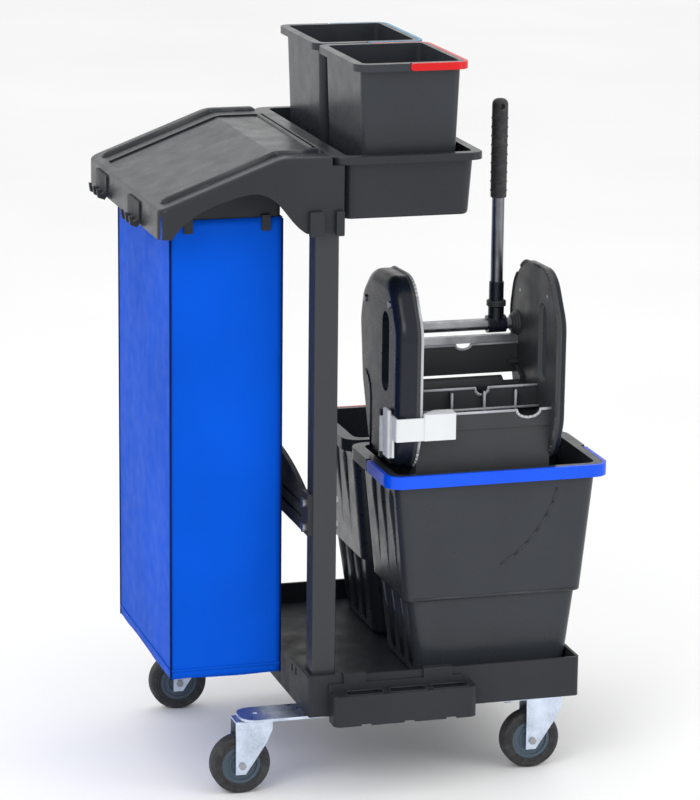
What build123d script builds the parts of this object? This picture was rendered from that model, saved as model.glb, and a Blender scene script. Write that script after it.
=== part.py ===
"""A two-bucket housekeeping cart with a waste bag, a top tray and a press wringer.

Millimetres. X runs from the bag end to the bucket end, Y from front to back, Z up from the floor.
The origin is on the floor, at the middle of the cart's footprint.
"""

from build123d import *
import os

os.makedirs("parts", exist_ok=True)

# Frame of the chassis. The handle rest stands out at the front, so the chassis middle is behind Y = 0.
mid_y = 17.0
ground = Plane(origin=(0, mid_y, 0))
side = Plane(origin=(0, mid_y, 0), x_dir=(1, 0, 0), z_dir=(0, -1, 0))
end = Plane(origin=(0, mid_y, 0), x_dir=(0, 1, 0), z_dir=(1, 0, 0))

# Fits
seat_gap = 0.2
running = 0.06
slide_gap = 0.4

# Base tray
base_length = 470.0
base_width = 531.0
base_left = -126.0
base_bottom = 132.5
base_height = 68.0
base_wall = 5.0
base_corner = 8.0
deck_top = 165.0
deck_thickness = 4.0
base_centre = base_left + base_length / 2
base_top = base_bottom + base_height

# Casters
wheel_diameter = 100.0
tyre_width = 28.0
hub_diameter = 66.0
hub_width = 24.0
axle_radius = 4.0
caster_trail = 26.0
swivel_left = -206.0
swivel_right = 298.0
swivel_y = 222.0
fork_inside = 35.0
fork_sheet = 2.5
king_radius = 5.0
raceway_radius = 24.0
raceway_height = 1.5
arm_thickness = 4.5
arm_width = 68.0
arm_tip = 29.0
arm_bottom = base_bottom - arm_thickness
fork_top = arm_bottom - raceway_height - seat_gap
corners = {
    "front_left": (swivel_left, -swivel_y),
    "rear_left": (swivel_left, swivel_y),
    "front_right": (swivel_right, -swivel_y),
    "rear_right": (swivel_right, swivel_y),
}

# Posts
post_size = 40.0
post_wall = 2.5
post_x = -98.0
post_y = 234.0
post_left = post_x - post_size / 2
socket_wall = 7.0

# Shroud over the bag
shroud_half = 262.0
shroud_left = -375.0
shroud_low = 941.0
shroud_end_top = 987.0
shroud_crease = -173.0
shroud_top = 1064.0
shroud_right = -73.0
shroud_top_right = -93.0
shroud_wall = 3.5
recess_depth = 8.0
recess_half = 172.0

# Waste bag
bag_left = -341.0
bag_right = -154.0
bag_half = 190.0
bag_bottom = 188.0
bag_wall = 2.5
bag_lap = 12.0
frame_bottom = 945.0

# Top tray
tray_left = -68.0
tray_right = 150.0
tray_half = 247.0
tray_bottom = 957.0
tray_top = 1061.0
tray_wall = 3.0
tray_rim = 12.0
tray_rim_reach = 14.0
ledge_top = tray_top - tray_rim - seat_gap
post_top = ledge_top - shroud_wall - seat_gap

# Small buckets
small_length = 191.0
small_width = 240.0
small_top = 1205.0
small_x = 46.5
small_y = 123.0
small_rim = 12.0
small_overhang = 12.0

# Mopping buckets
big_length = 386.0
big_width = 236.0
big_top = 525.0
big_x = 205.0
big_y = 126.0
big_rim = 21.0

# Wringer
gap_left = 70.0
gap_right = 302.0
frame_sheet = 8.0
cover_depth = 32.0
shaft_y = -28.0
shaft_z = 724.0
shaft_radius = 10.0
lever_x = 264.0


def write(piece, label):
    """Label a finished piece and write it as its own STEP file."""
    piece.part.label = label
    export_step(piece.part, f"parts/{label}.step")


# --- Base tray ------------------------------------------------------------------------------------

arm_pad_length = 70.0
arm_bolt_radius = 4.0
arm_bolt_inset = 14.0
arm_bolt_half_pitch = 20.0
arm_bolt_top = deck_top - 6
socket_size = post_size + 2 * socket_wall
socket_top = base_top + 3
bolt_pad = 32.0
slot_width = 8.0
slot_height = 12.0
slot_centre_z = base_top - 14
slots_at = (-184.0, -160.0, 160.0, 184.0)

arm_inner = {
    swivel_left: base_left + base_wall + arm_pad_length,
    swivel_right: swivel_right - 86,
}


def arm_span(swivel_x):
    """The arm's two ends in X, the lower one first."""
    outward = -1 if swivel_x == swivel_left else 1
    return sorted((swivel_x + outward * arm_tip, arm_inner[swivel_x]))


def arm_bolt_places(swivel_x, swivel_y):
    """The two bolts that hold an arm to the base, side by side near the arm's inner end."""
    inward = 1 if swivel_x == swivel_left else -1
    bolt_x = arm_inner[swivel_x] - inward * arm_bolt_inset
    return [(bolt_x, swivel_y - arm_bolt_half_pitch), (bolt_x, swivel_y + arm_bolt_half_pitch)]


arm_bolts_at = [place for corner in corners.values() for place in arm_bolt_places(*corner)]

with BuildPart() as base_tray:
    with BuildSketch(ground.offset(base_bottom)):
        with Locations((base_centre, 0)):
            RectangleRounded(base_length, base_width, base_corner)
    extrude(amount=base_height)
    with BuildSketch(ground.offset(deck_top)):
        with Locations((base_centre, 0)):
            RectangleRounded(
                base_length - 2 * base_wall,
                base_width - 2 * base_wall,
                base_corner - base_wall,
            )
    extrude(amount=base_height, mode=Mode.SUBTRACT)
    with BuildSketch(ground.offset(base_bottom)):
        with Locations((base_centre, 0)):
            RectangleRounded(
                base_length - 2 * base_wall,
                base_width - 2 * base_wall,
                base_corner - base_wall,
            )
        with Locations(*arm_bolts_at):
            Rectangle(bolt_pad, arm_width, mode=Mode.SUBTRACT)
        with Locations((base_centre, 0)):
            Rectangle(base_length, base_wall, mode=Mode.SUBTRACT)
            Rectangle(base_wall, base_width, mode=Mode.SUBTRACT)
    extrude(amount=deck_top - deck_thickness - base_bottom, mode=Mode.SUBTRACT)
    with BuildSketch(ground.offset(base_bottom)):
        with Locations((post_x, -post_y), (post_x, post_y)):
            Rectangle(socket_size, socket_size + 2 * (base_width / 2 - post_y - socket_size / 2))
    extrude(amount=socket_top - base_bottom)
    with BuildSketch(ground.offset(deck_top)):
        with Locations((post_x, -post_y), (post_x, post_y)):
            Rectangle(post_size + 2 * running, post_size + 2 * running)
    extrude(amount=base_height, mode=Mode.SUBTRACT)
    with BuildSketch(ground.offset(base_bottom)):
        with Locations(*arm_bolts_at):
            Circle(arm_bolt_radius)
    extrude(amount=arm_bolt_top - base_bottom, mode=Mode.SUBTRACT)
    for y in slots_at:
        with Locations((base_left, mid_y + y, slot_centre_z)):
            Box(4 * base_wall, slot_width, slot_height, mode=Mode.SUBTRACT)
write(base_tray, "base_tray")

# --- Caster arms, bolts and king pins -------------------------------------------------------------


arm_tip_round = 26.0
arm_root_round = 4.0
arm_bolt_head_height = 5.0
arm_bolt_head_radius = 7.0


def caster_arm(corner):
    """A flat arm with a round end, bolted under the base."""
    swivel_x, swivel_y = corners[corner]
    low, high = arm_span(swivel_x)
    with BuildPart() as arm:
        with BuildSketch(ground.offset(arm_bottom)) as outline:
            with Locations(((low + high) / 2, swivel_y)):
                Rectangle(high - low, arm_width)
            tip = 0 if swivel_x == swivel_left else -1
            fillet(outline.vertices().group_by(Axis.X)[tip], arm_tip_round)
            fillet(outline.vertices().group_by(Axis.X)[-1 - tip], arm_root_round)
            with Locations((swivel_x, swivel_y)):
                Circle(king_radius + running, mode=Mode.SUBTRACT)
            with Locations(*arm_bolt_places(swivel_x, swivel_y)):
                Circle(arm_bolt_radius + running, mode=Mode.SUBTRACT)
        extrude(amount=arm_thickness)
    write(arm, f"caster_arm_{corner}")


for corner in corners:
    caster_arm(corner)

with BuildPart() as arm_bolts:
    with BuildSketch(ground.offset(arm_bottom - arm_bolt_head_height)):
        with Locations(*arm_bolts_at):
            RegularPolygon(arm_bolt_head_radius, 6)
    extrude(amount=arm_bolt_head_height)
    with BuildSketch(ground.offset(arm_bottom)):
        with Locations(*arm_bolts_at):
            Circle(arm_bolt_radius)
    extrude(amount=arm_bolt_top - arm_bottom)
write(arm_bolts, "arm_bolts")

king_head_radius = 9.0
king_head_height = 4.0
king_low = fork_top - fork_sheet - seat_gap
swivels = list(corners.values())

with BuildPart() as king_pins:
    with BuildSketch(ground.offset(arm_bottom - raceway_height)):
        with Locations(*swivels):
            Circle(raceway_radius)
    extrude(amount=raceway_height)
    with BuildSketch(ground.offset(king_low - king_head_height)):
        with Locations(*swivels):
            Circle(king_head_radius)
    extrude(amount=king_head_height)
    with BuildSketch(ground.offset(king_low)):
        with Locations(*swivels):
            Circle(king_radius)
    extrude(amount=base_bottom - 1 - king_low)
write(king_pins, "king_pins")

# --- Casters --------------------------------------------------------------------------------------

fork_outside = fork_inside + 2 * fork_sheet
axle_z = wheel_diameter / 2
fork_crown_round = 3.0
axle_nut_radius = 6.5
axle_nut_height = 5.0
axle_head_height = 4.0
hub_boss_radius = 9.0
hub_dish_depth = 2.0
hub_dish_radii = (12.0, hub_diameter / 2 - 4)
tyre_shoulder = 6.0


def caster(corner):
    """Fork, axle, wheel centre and tyre of one swivel caster, trailing towards the bag end."""
    swivel_x, swivel_y = corners[corner]
    axle_x = swivel_x - caster_trail
    wheel_plane = side.offset(-swivel_y)

    with BuildPart() as fork:
        with BuildSketch(wheel_plane):
            with BuildLine():
                Polyline(
                    (axle_x - 11, fork_top),
                    (axle_x - 11, axle_z - 15),
                    (axle_x + 6, axle_z - 15),
                    (axle_x + 17, axle_z + 1),
                    (axle_x + 41, axle_z + 37),
                    (axle_x + 51, axle_z + 60),
                    (axle_x + 51, fork_top),
                    close=True,
                )
            make_face()
        extrude(amount=fork_outside / 2, both=True)
        fillet(fork.edges().filter_by(Axis.X).group_by(Axis.Z)[-1], fork_crown_round)
        with BuildSketch(wheel_plane):
            with Locations((axle_x, fork_top - fork_sheet - wheel_diameter)):
                Rectangle(2 * wheel_diameter, 2 * wheel_diameter)
        extrude(amount=fork_inside / 2, both=True, mode=Mode.SUBTRACT)
        with BuildSketch(ground.offset(fork_top)):
            with Locations((swivel_x, swivel_y)):
                Circle(king_radius + running)
        extrude(amount=-2 * fork_sheet, mode=Mode.SUBTRACT)
        with BuildSketch(wheel_plane):
            with Locations((axle_x, axle_z)):
                Circle(axle_radius)
        extrude(amount=fork_outside, both=True, mode=Mode.SUBTRACT)
    write(fork, f"caster_fork_{corner}")

    with BuildPart() as axle:
        with BuildSketch(wheel_plane):
            with Locations((axle_x, axle_z)):
                Circle(axle_radius)
        extrude(amount=fork_outside / 2, both=True)
        with BuildSketch(wheel_plane.offset(fork_outside / 2)):
            with Locations((axle_x, axle_z)):
                RegularPolygon(axle_nut_radius, 6)
        extrude(amount=axle_head_height)
        with BuildSketch(wheel_plane.offset(-fork_outside / 2)):
            with Locations((axle_x, axle_z)):
                RegularPolygon(axle_nut_radius, 6)
        extrude(amount=-axle_nut_height)
    write(axle, f"axle_{corner}")

    with BuildPart() as hub:
        with BuildSketch(wheel_plane):
            with Locations((axle_x, axle_z)):
                Circle(hub_diameter / 2)
        extrude(amount=hub_width / 2, both=True)
        for face in (1, -1):
            with BuildSketch(wheel_plane.offset(face * hub_width / 2)):
                with Locations((axle_x, axle_z)):
                    Circle(hub_dish_radii[1])
                    Circle(hub_dish_radii[0], mode=Mode.SUBTRACT)
            extrude(amount=-face * hub_dish_depth, mode=Mode.SUBTRACT)
        with BuildSketch(wheel_plane):
            with Locations((axle_x, axle_z)):
                Circle(hub_boss_radius)
        extrude(amount=fork_inside / 2 - seat_gap, both=True)
        with BuildSketch(wheel_plane):
            with Locations((axle_x, axle_z)):
                Circle(axle_radius + running)
        extrude(amount=fork_inside, both=True, mode=Mode.SUBTRACT)
    write(hub, f"wheel_hub_{corner}")

    with BuildPart() as tyre:
        with BuildSketch(wheel_plane):
            with Locations((axle_x, axle_z)):
                Circle(wheel_diameter / 2)
        extrude(amount=tyre_width / 2, both=True)
        fillet(tyre.edges().filter_by(GeomType.CIRCLE), tyre_shoulder)
        with BuildSketch(wheel_plane):
            with Locations((axle_x, axle_z)):
                Circle(hub_diameter / 2)
        extrude(amount=tyre_width, both=True, mode=Mode.SUBTRACT)
    write(tyre, f"tyre_{corner}")


for corner in corners:
    caster(corner)

# --- Posts, crossbar and clamps -------------------------------------------------------------------

bar_bolt_heights = (450.0, 491.0)
bar_bolt_radius = 4.0
bar_thickness = 8.0
bar_left = post_left - bar_thickness
post_corner = 4.0
post_inside = post_size - 2 * post_wall


def post(label, y):
    """A square tube standing in the base's socket."""
    with BuildPart() as tube:
        with BuildSketch(ground.offset(deck_top)):
            with Locations((post_x, y)):
                RectangleRounded(post_size, post_size, post_corner)
                RectangleRounded(post_inside, post_inside, post_corner - post_wall, mode=Mode.SUBTRACT)
        extrude(amount=post_top - deck_top)
        with BuildSketch(end.offset(post_x)):
            with Locations(*[(y, z) for z in bar_bolt_heights]):
                Circle(bar_bolt_radius)
        extrude(amount=post_size, both=True, mode=Mode.SUBTRACT)
    write(tube, label)


post("front_post", -post_y)
post("rear_post", post_y)

bar_low = 438.0
bar_shoulder = 508.0
bar_crown = 545.0
bar_half = post_y + post_size / 2 - 4
bar_lug = 40.0
bar_grooves_at = (462.0, 484.0)
bar_groove = 5.0
washer_radius = 8.0
nut_radius = 7.5
nut_height = 6.0
bar_bolts_at = [(y, z) for y in (-post_y, post_y) for z in bar_bolt_heights]

with BuildPart() as crossbar:
    with BuildSketch(end.offset(bar_left)):
        with BuildLine():
            Polyline(
                (-bar_half + bar_lug, bar_shoulder),
                (-bar_half, bar_shoulder),
                (-bar_half, bar_low),
                (bar_half, bar_low),
                (bar_half, bar_shoulder),
                (bar_half - bar_lug, bar_shoulder),
            )
            ThreePointArc(
                (bar_half - bar_lug, bar_shoulder),
                (0, bar_crown),
                (-bar_half + bar_lug, bar_shoulder),
            )
        make_face()
        with Locations(*bar_bolts_at):
            Circle(bar_bolt_radius, mode=Mode.SUBTRACT)
    extrude(amount=bar_thickness)
    for z in bar_grooves_at:
        with Locations((bar_left, mid_y, z)):
            Box(bar_groove, 2 * (bar_half - bar_lug), bar_groove, mode=Mode.SUBTRACT)
write(crossbar, "crossbar")

with BuildPart() as crossbar_bolts:
    with BuildSketch(end.offset(bar_left)):
        with Locations(*bar_bolts_at):
            Circle(bar_bolt_radius)
    extrude(amount=bar_thickness + post_size)
    with BuildSketch(end.offset(bar_left)):
        with Locations(*bar_bolts_at):
            Circle(washer_radius)
    extrude(amount=-nut_height)
    with BuildSketch(end.offset(post_left + post_size)):
        with Locations(*bar_bolts_at):
            RegularPolygon(nut_radius, 6)
    extrude(amount=nut_height)
write(crossbar_bolts, "crossbar_bolts")

clamp_low = 937.0
clamp_high = 977.0
clamp_depth = 9.0
clamp_plates_at = [(-119.5, 23.0), (-81.0, 13.0)]

with BuildPart() as clamp_plates:
    for face in (-1, 1):
        for x, width in clamp_plates_at:
            with BuildSketch(side.offset(-face * (shroud_half + seat_gap))):
                with Locations((x, (clamp_low + clamp_high) / 2)):
                    RectangleRounded(width, clamp_high - clamp_low, 2)
            extrude(amount=-face * clamp_depth)
write(clamp_plates, "clamp_plates")

# --- Shroud ---------------------------------------------------------------------------------------

roof_bend = 60.0
end_corner = 16.0
top_round = 7.0
inner_drop = recess_depth + shroud_wall
overcut = 50.0
tongue_inside_low = shroud_low - overcut
tongue_inside_top = ledge_top - shroud_wall
tongue_inside_reach = shroud_right - shroud_wall - shroud_top_right


def roof(drop, left, right, low):
    """Corners of the outline under the roof line, lowered by drop, from left to right and down to low."""
    rise = (shroud_top - shroud_end_top) / (shroud_crease - shroud_left)
    start = shroud_end_top + rise * (left - shroud_left) - drop
    return [
        (left, low),
        (left, start),
        (shroud_crease + drop * rise / 2, shroud_top - drop),
        (right, shroud_top - drop),
        (right, low),
    ]


recess_front = shroud_left + 14
skirt = [
    (-354, 941),
    (-336, 962),
    (-300, 986),
    (-255, 1002),
    (-215, 1008),
    (-190, 998),
    (-164, 970),
    (-134, 941),
]
tray_bolt_radius = 4.0
tray_bolts_at = [(-150, 1012), (-60, 1012), (60, 1012), (150, 1012)]
hinge_x = shroud_top_right - 8
hinge_z = shroud_top - recess_depth + 4.5
hinge_pin_radius = 2.5
opening_left = -330.0
opening_right = -165.0
opening_half = 160.0

with BuildPart() as shroud:
    with BuildSketch(side):
        with BuildLine():
            Polyline(*roof(0, shroud_left, shroud_top_right, shroud_low), close=True)
        make_face()
        with Locations(((shroud_top_right + shroud_right) / 2 - 1, (shroud_low + ledge_top) / 2)):
            Rectangle(shroud_right - shroud_top_right + 2, ledge_top - shroud_low)
    extrude(amount=shroud_half, both=True)
    along_y = shroud.edges().filter_by(Axis.Y)
    crease = along_y.filter_by_position(Axis.X, shroud_crease - 1, shroud_crease + 1)
    fillet(crease, roof_bend)
    fillet(shroud.edges().filter_by(Axis.Z).group_by(Axis.X)[0], end_corner)
    top_face_z = shroud_end_top - 1
    top_outline = shroud.edges().filter_by_position(Axis.Z, top_face_z, shroud_top + 1)
    fillet(top_outline.filter_by(lambda edge: edge.center().X < shroud_top_right - 1), top_round)
    with BuildSketch(side):
        with BuildLine():
            Polyline(
                *roof(inner_drop, shroud_left + shroud_wall, shroud_top_right, shroud_low - overcut),
                close=True,
            )
        make_face()
    extrude(amount=shroud_half - shroud_wall, both=True, mode=Mode.SUBTRACT)
    with BuildSketch(side):
        with Locations((shroud_top_right, (tongue_inside_low + tongue_inside_top) / 2)):
            Rectangle(2 * tongue_inside_reach, tongue_inside_top - tongue_inside_low)
    extrude(amount=shroud_half - shroud_wall, both=True, mode=Mode.SUBTRACT)
    with BuildSketch(side):
        with BuildLine():
            Polyline(*roof(recess_depth, recess_front, shroud_top_right + 20, 2 * shroud_top), close=True)
        make_face()
    extrude(amount=recess_half, both=True, mode=Mode.SUBTRACT)
    with BuildSketch(ground.offset(shroud_low)):
        with Locations(((opening_left + opening_right) / 2, 0)):
            RectangleRounded(opening_right - opening_left, 2 * opening_half, 12)
    extrude(amount=200, mode=Mode.SUBTRACT)
    with BuildSketch(side):
        with BuildLine():
            Spline(*skirt)
            Polyline(skirt[-1], (skirt[-1][0], shroud_low - 60), (skirt[0][0], shroud_low - 60), skirt[0])
        make_face()
    extrude(amount=2 * shroud_half, both=True, mode=Mode.SUBTRACT)
    with BuildSketch(side):
        with Locations((hinge_x, hinge_z)):
            Circle(hinge_pin_radius)
    extrude(amount=recess_half + 10, both=True, mode=Mode.SUBTRACT)
    with BuildSketch(end.offset(shroud_right)):
        with Locations(*tray_bolts_at):
            Circle(tray_bolt_radius)
    extrude(amount=-3 * shroud_wall, mode=Mode.SUBTRACT)
write(shroud, "shroud")

# --- Lid ------------------------------------------------------------------------------------------

lid_sheet = 5.0
lid_gap = 1.5
lid_left = recess_front + 2.0
knuckle_radius = 4.2

with BuildPart() as lid:
    with BuildSketch(side):
        with BuildLine():
            Polyline(*roof(recess_depth - lid_sheet - seat_gap, lid_left, hinge_x, 0), close=True)
        make_face()
    extrude(amount=recess_half - lid_gap, both=True)
    with BuildSketch(side):
        with BuildLine():
            Polyline(*roof(recess_depth - seat_gap, lid_left - 50, hinge_x + 50, -50), close=True)
        make_face()
    extrude(amount=recess_half, both=True, mode=Mode.SUBTRACT)
    with BuildSketch(side):
        with Locations((hinge_x, hinge_z)):
            Circle(knuckle_radius)
    extrude(amount=recess_half - lid_gap, both=True)
    with BuildSketch(side):
        with Locations((hinge_x, hinge_z)):
            Circle(hinge_pin_radius + running)
    extrude(amount=recess_half, both=True, mode=Mode.SUBTRACT)
    fillet(lid.edges().filter_by(Axis.Z).group_by(Axis.X)[0], 6)
write(lid, "lid")

with BuildPart() as lid_hinge_pin:
    with BuildSketch(side):
        with Locations((hinge_x, hinge_z)):
            Circle(hinge_pin_radius)
    extrude(amount=recess_half + 8, both=True)
write(lid_hinge_pin, "lid_hinge_pin")

# --- Waste bag and the frame it hangs from --------------------------------------------------------

ring_sheet = 3.0
bag_x = (bag_left + bag_right) / 2
bag_length = bag_right - bag_left
bag_corner = 10.0
bag_top = frame_bottom + bag_lap
frame_length = bag_length - 2 * bag_wall - 2 * slide_gap
frame_width = 2 * (bag_half - bag_wall - slide_gap)

with BuildPart() as bag_frame:
    with BuildSketch(ground.offset(frame_bottom)):
        with Locations((bag_x, 0)):
            RectangleRounded(frame_length, frame_width, bag_corner - bag_wall)
            RectangleRounded(
                frame_length - 2 * ring_sheet,
                frame_width - 2 * ring_sheet,
                bag_corner - bag_wall - ring_sheet,
                mode=Mode.SUBTRACT,
            )
    extrude(amount=shroud_top - frame_bottom)
    with BuildSketch(side):
        with BuildLine():
            Polyline(
                *roof(inner_drop + seat_gap, shroud_left, shroud_right, 2 * shroud_top),
                close=True,
            )
        make_face()
    extrude(amount=shroud_half, both=True, mode=Mode.SUBTRACT)
write(bag_frame, "bag_frame")

with BuildPart() as waste_bag:
    with BuildSketch(ground.offset(bag_bottom)):
        with Locations((bag_x, 0)):
            RectangleRounded(bag_length, 2 * bag_half, bag_corner)
    extrude(amount=bag_top - bag_bottom)
    with BuildSketch(ground.offset(bag_bottom + bag_wall)):
        with Locations((bag_x, 0)):
            RectangleRounded(bag_length - 2 * bag_wall, 2 * (bag_half - bag_wall), bag_corner - bag_wall)
    extrude(amount=bag_top, mode=Mode.SUBTRACT)
write(waste_bag, "waste_bag")

hook_places = (-311.0, -183.0)
hook_width = 14.0
hook_sheet = 4.0
hook_low = 936.0
hook_bridge = bag_top + slide_gap
frame_face = frame_width / 2

with BuildPart() as bag_hooks:
    for face in (-1, 1):
        with BuildSketch(end.offset(hook_places[0] - hook_width / 2)) as profile:
            with BuildLine():
                Polyline(
                    (face * (frame_face + seat_gap), hook_bridge),
                    (face * (bag_half + slide_gap), hook_bridge),
                    (face * (bag_half + slide_gap), hook_low),
                    (face * (bag_half + slide_gap + hook_sheet), hook_low),
                    (face * (bag_half + slide_gap + hook_sheet), hook_bridge + hook_sheet),
                    (face * (frame_face + seat_gap), hook_bridge + hook_sheet),
                    close=True,
                )
            make_face()
        for place in hook_places:
            extrude(profile.sketch.moved(Location((place - hook_places[0], 0, 0))), amount=hook_width)
write(bag_hooks, "bag_hooks")

# --- Hook plates on the end face ------------------------------------------------------------------

plate_width = 82.0
plate_height = 36.0
plate_sheet = 3.0
plate_low = 943.0
plate_centres = (-92.0, 153.0)
prong_reach = 15.0
prong_width = 9.0

with BuildPart() as end_hooks:
    with BuildSketch(end.offset(shroud_left - seat_gap)):
        with Locations(*[(y, plate_low + plate_height / 2) for y in plate_centres]):
            RectangleRounded(plate_width, plate_height, 5)
    extrude(amount=-plate_sheet)
    prong_face = shroud_left - seat_gap
    for y in plate_centres:
        for across in (-30, 0, 30):
            with BuildSketch(side.offset(-y - across - prong_width / 2)):
                with BuildLine():
                    Polyline(
                        (prong_face, plate_low + 8),
                        (prong_face, plate_low),
                        (prong_face - 4, plate_low - 6),
                        (prong_face - prong_reach, plate_low - 2),
                        (prong_face - prong_reach - 2, plate_low + 12),
                        (prong_face - prong_reach + 2, plate_low + 12),
                        (prong_face - prong_reach + 3, plate_low + 3),
                        close=True,
                    )
                make_face()
            extrude(amount=prong_width)
write(end_hooks, "end_hooks")

# --- Top tray -------------------------------------------------------------------------------------

tray_length = tray_right - tray_left
tray_x = (tray_left + tray_right) / 2
tray_foot_inset = 6.0
tray_corner = 16.0
rim_left = shroud_top_right + 4.0
rim_right = tray_right + tray_rim_reach - 1
rim_half = tray_half + tray_rim_reach


with BuildPart() as top_tray:
    with BuildSketch(ground.offset(tray_bottom)):
        with Locations((tray_x - tray_foot_inset / 2, 0)):
            RectangleRounded(tray_length - tray_foot_inset, 2 * (tray_half - tray_foot_inset), tray_corner)
    with BuildSketch(ground.offset(tray_top)):
        with Locations((tray_x, 0)):
            RectangleRounded(tray_length, 2 * tray_half, tray_corner)
    loft(ruled=True)
    fillet(top_tray.edges().group_by(Axis.Z)[0], 6)
    with BuildSketch(ground.offset(tray_top - tray_rim)):
        with Locations(((rim_left + rim_right) / 2, 0)):
            RectangleRounded(rim_right - rim_left, 2 * rim_half, tray_corner + 8)
    extrude(amount=tray_rim)
    fillet(top_tray.edges().group_by(Axis.Z)[-1], 2)
    with BuildSketch(ground.offset(tray_bottom + tray_wall)):
        with Locations((tray_x - tray_foot_inset / 2, 0)):
            RectangleRounded(
                tray_length - tray_foot_inset - 2 * tray_wall,
                2 * (tray_half - tray_foot_inset - tray_wall),
                tray_corner - tray_wall,
            )
    with BuildSketch(ground.offset(tray_top)):
        with Locations((tray_x, 0)):
            RectangleRounded(
                tray_length - 2 * tray_wall, 2 * (tray_half - tray_wall), tray_corner - tray_wall
            )
    loft(ruled=True, mode=Mode.SUBTRACT)
    with BuildSketch(ground.offset(tray_top - tray_rim)):
        with Locations(((rim_left + rim_right) / 2, 0)):
            RectangleRounded(
                rim_right - rim_left - 2 * tray_wall, 2 * (rim_half - tray_wall), tray_corner + 8 - tray_wall
            )
        with Locations((tray_x, 0)):
            RectangleRounded(tray_length, 2 * tray_half, tray_corner, mode=Mode.SUBTRACT)
    extrude(amount=tray_rim - tray_wall, mode=Mode.SUBTRACT)
    with BuildSketch(end.offset(tray_left)):
        with Locations(*tray_bolts_at):
            Circle(tray_bolt_radius)
    extrude(amount=3 * tray_wall, both=True, mode=Mode.SUBTRACT)
write(top_tray, "top_tray")

bolt_head_height = 3.5

with BuildPart() as tray_bolts:
    with BuildSketch(end.offset(shroud_right - shroud_wall)):
        with Locations(*tray_bolts_at):
            Circle(tray_bolt_radius)
    extrude(amount=tray_left + tray_wall - shroud_right + shroud_wall)
    with BuildSketch(end.offset(tray_left + tray_wall)):
        with Locations(*tray_bolts_at):
            Circle(washer_radius)
    extrude(amount=bolt_head_height)
    with BuildSketch(end.offset(shroud_right - shroud_wall)):
        with Locations(*tray_bolts_at):
            RegularPolygon(nut_radius, 6)
    extrude(amount=-nut_height)
    with BuildSketch(end.offset(shroud_right)):
        with Locations(*tray_bolts_at):
            Circle(washer_radius)
    extrude(amount=tray_left - shroud_right)
write(tray_bolts, "tray_bolts")

# --- Small buckets and their bails ----------------------------------------------------------------

small_corner = 12.0
small_foot = tray_bottom + tray_wall + seat_gap
small_foot_length = 152.0
small_foot_width = 200.0
small_body_length = small_length - 2 * small_overhang
small_body_width = small_width - 2 * small_overhang
small_wall = 3.0
small_strap = 6.5
bail_clearance = 0.5
small_rebate = small_strap + bail_clearance
small_pivot_back = small_rim / 2 + 1
small_pivot_z = small_top - small_rim / 2
pivot_pin_radius = 3.0
pivot_pin_depth = 5.0
pivot_block = 22.0
rim_sheet = 2.5


def small_bucket(label, y):
    """A straight-sided bucket with a turned-down rim, rebated for its bail on the +X half."""
    with BuildPart() as pail:
        with BuildSketch(ground.offset(small_foot)):
            with Locations((small_x, y)):
                RectangleRounded(small_foot_length, small_foot_width, small_corner)
        with BuildSketch(ground.offset(small_top)):
            with Locations((small_x, y)):
                RectangleRounded(small_body_length, small_body_width, small_corner)
        loft(ruled=True)
        fillet(pail.edges().group_by(Axis.Z)[0], 6)
        with BuildSketch(ground.offset(small_top - small_rim)):
            with Locations((small_x, y)):
                RectangleRounded(small_length, small_width, small_corner + small_overhang)
            with Locations((small_x - small_length - small_pivot_back, y)):
                Rectangle(2 * small_length, small_width, mode=Mode.INTERSECT)
            with Locations((small_x, y)):
                RectangleRounded(
                    small_length - 2 * small_rebate,
                    small_width - 2 * small_rebate,
                    small_corner + small_overhang - small_rebate,
                )
        extrude(amount=small_rim)
        with BuildSketch(ground.offset(small_top - small_rim)):
            with Locations((small_x, y)):
                RectangleRounded(
                    small_length - 2 * small_rebate - 2 * rim_sheet,
                    small_width - 2 * small_rebate - 2 * rim_sheet,
                    small_corner + small_overhang - small_rebate - rim_sheet,
                )
                RectangleRounded(small_body_length, small_body_width, small_corner, mode=Mode.SUBTRACT)
                Rectangle(pivot_block, small_width, mode=Mode.SUBTRACT)
        extrude(amount=small_rim - rim_sheet, mode=Mode.SUBTRACT)
        with BuildSketch(ground.offset(small_foot + small_wall)):
            with Locations((small_x, y)):
                RectangleRounded(
                    small_foot_length - 2 * small_wall,
                    small_foot_width - 2 * small_wall,
                    small_corner - small_wall,
                )
        with BuildSketch(ground.offset(small_top)):
            with Locations((small_x, y)):
                RectangleRounded(
                    small_body_length - 2 * small_wall,
                    small_body_width - 2 * small_wall,
                    small_corner - small_wall,
                )
        loft(ruled=True, mode=Mode.SUBTRACT)
        for face in (-1, 1):
            with BuildSketch(side.offset(-y - face * small_width / 2)):
                with Locations((small_x, small_pivot_z)):
                    Circle(pivot_pin_radius + running)
            extrude(amount=face * (small_rebate + pivot_pin_depth + bail_clearance), mode=Mode.SUBTRACT)
    write(pail, label)


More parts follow.
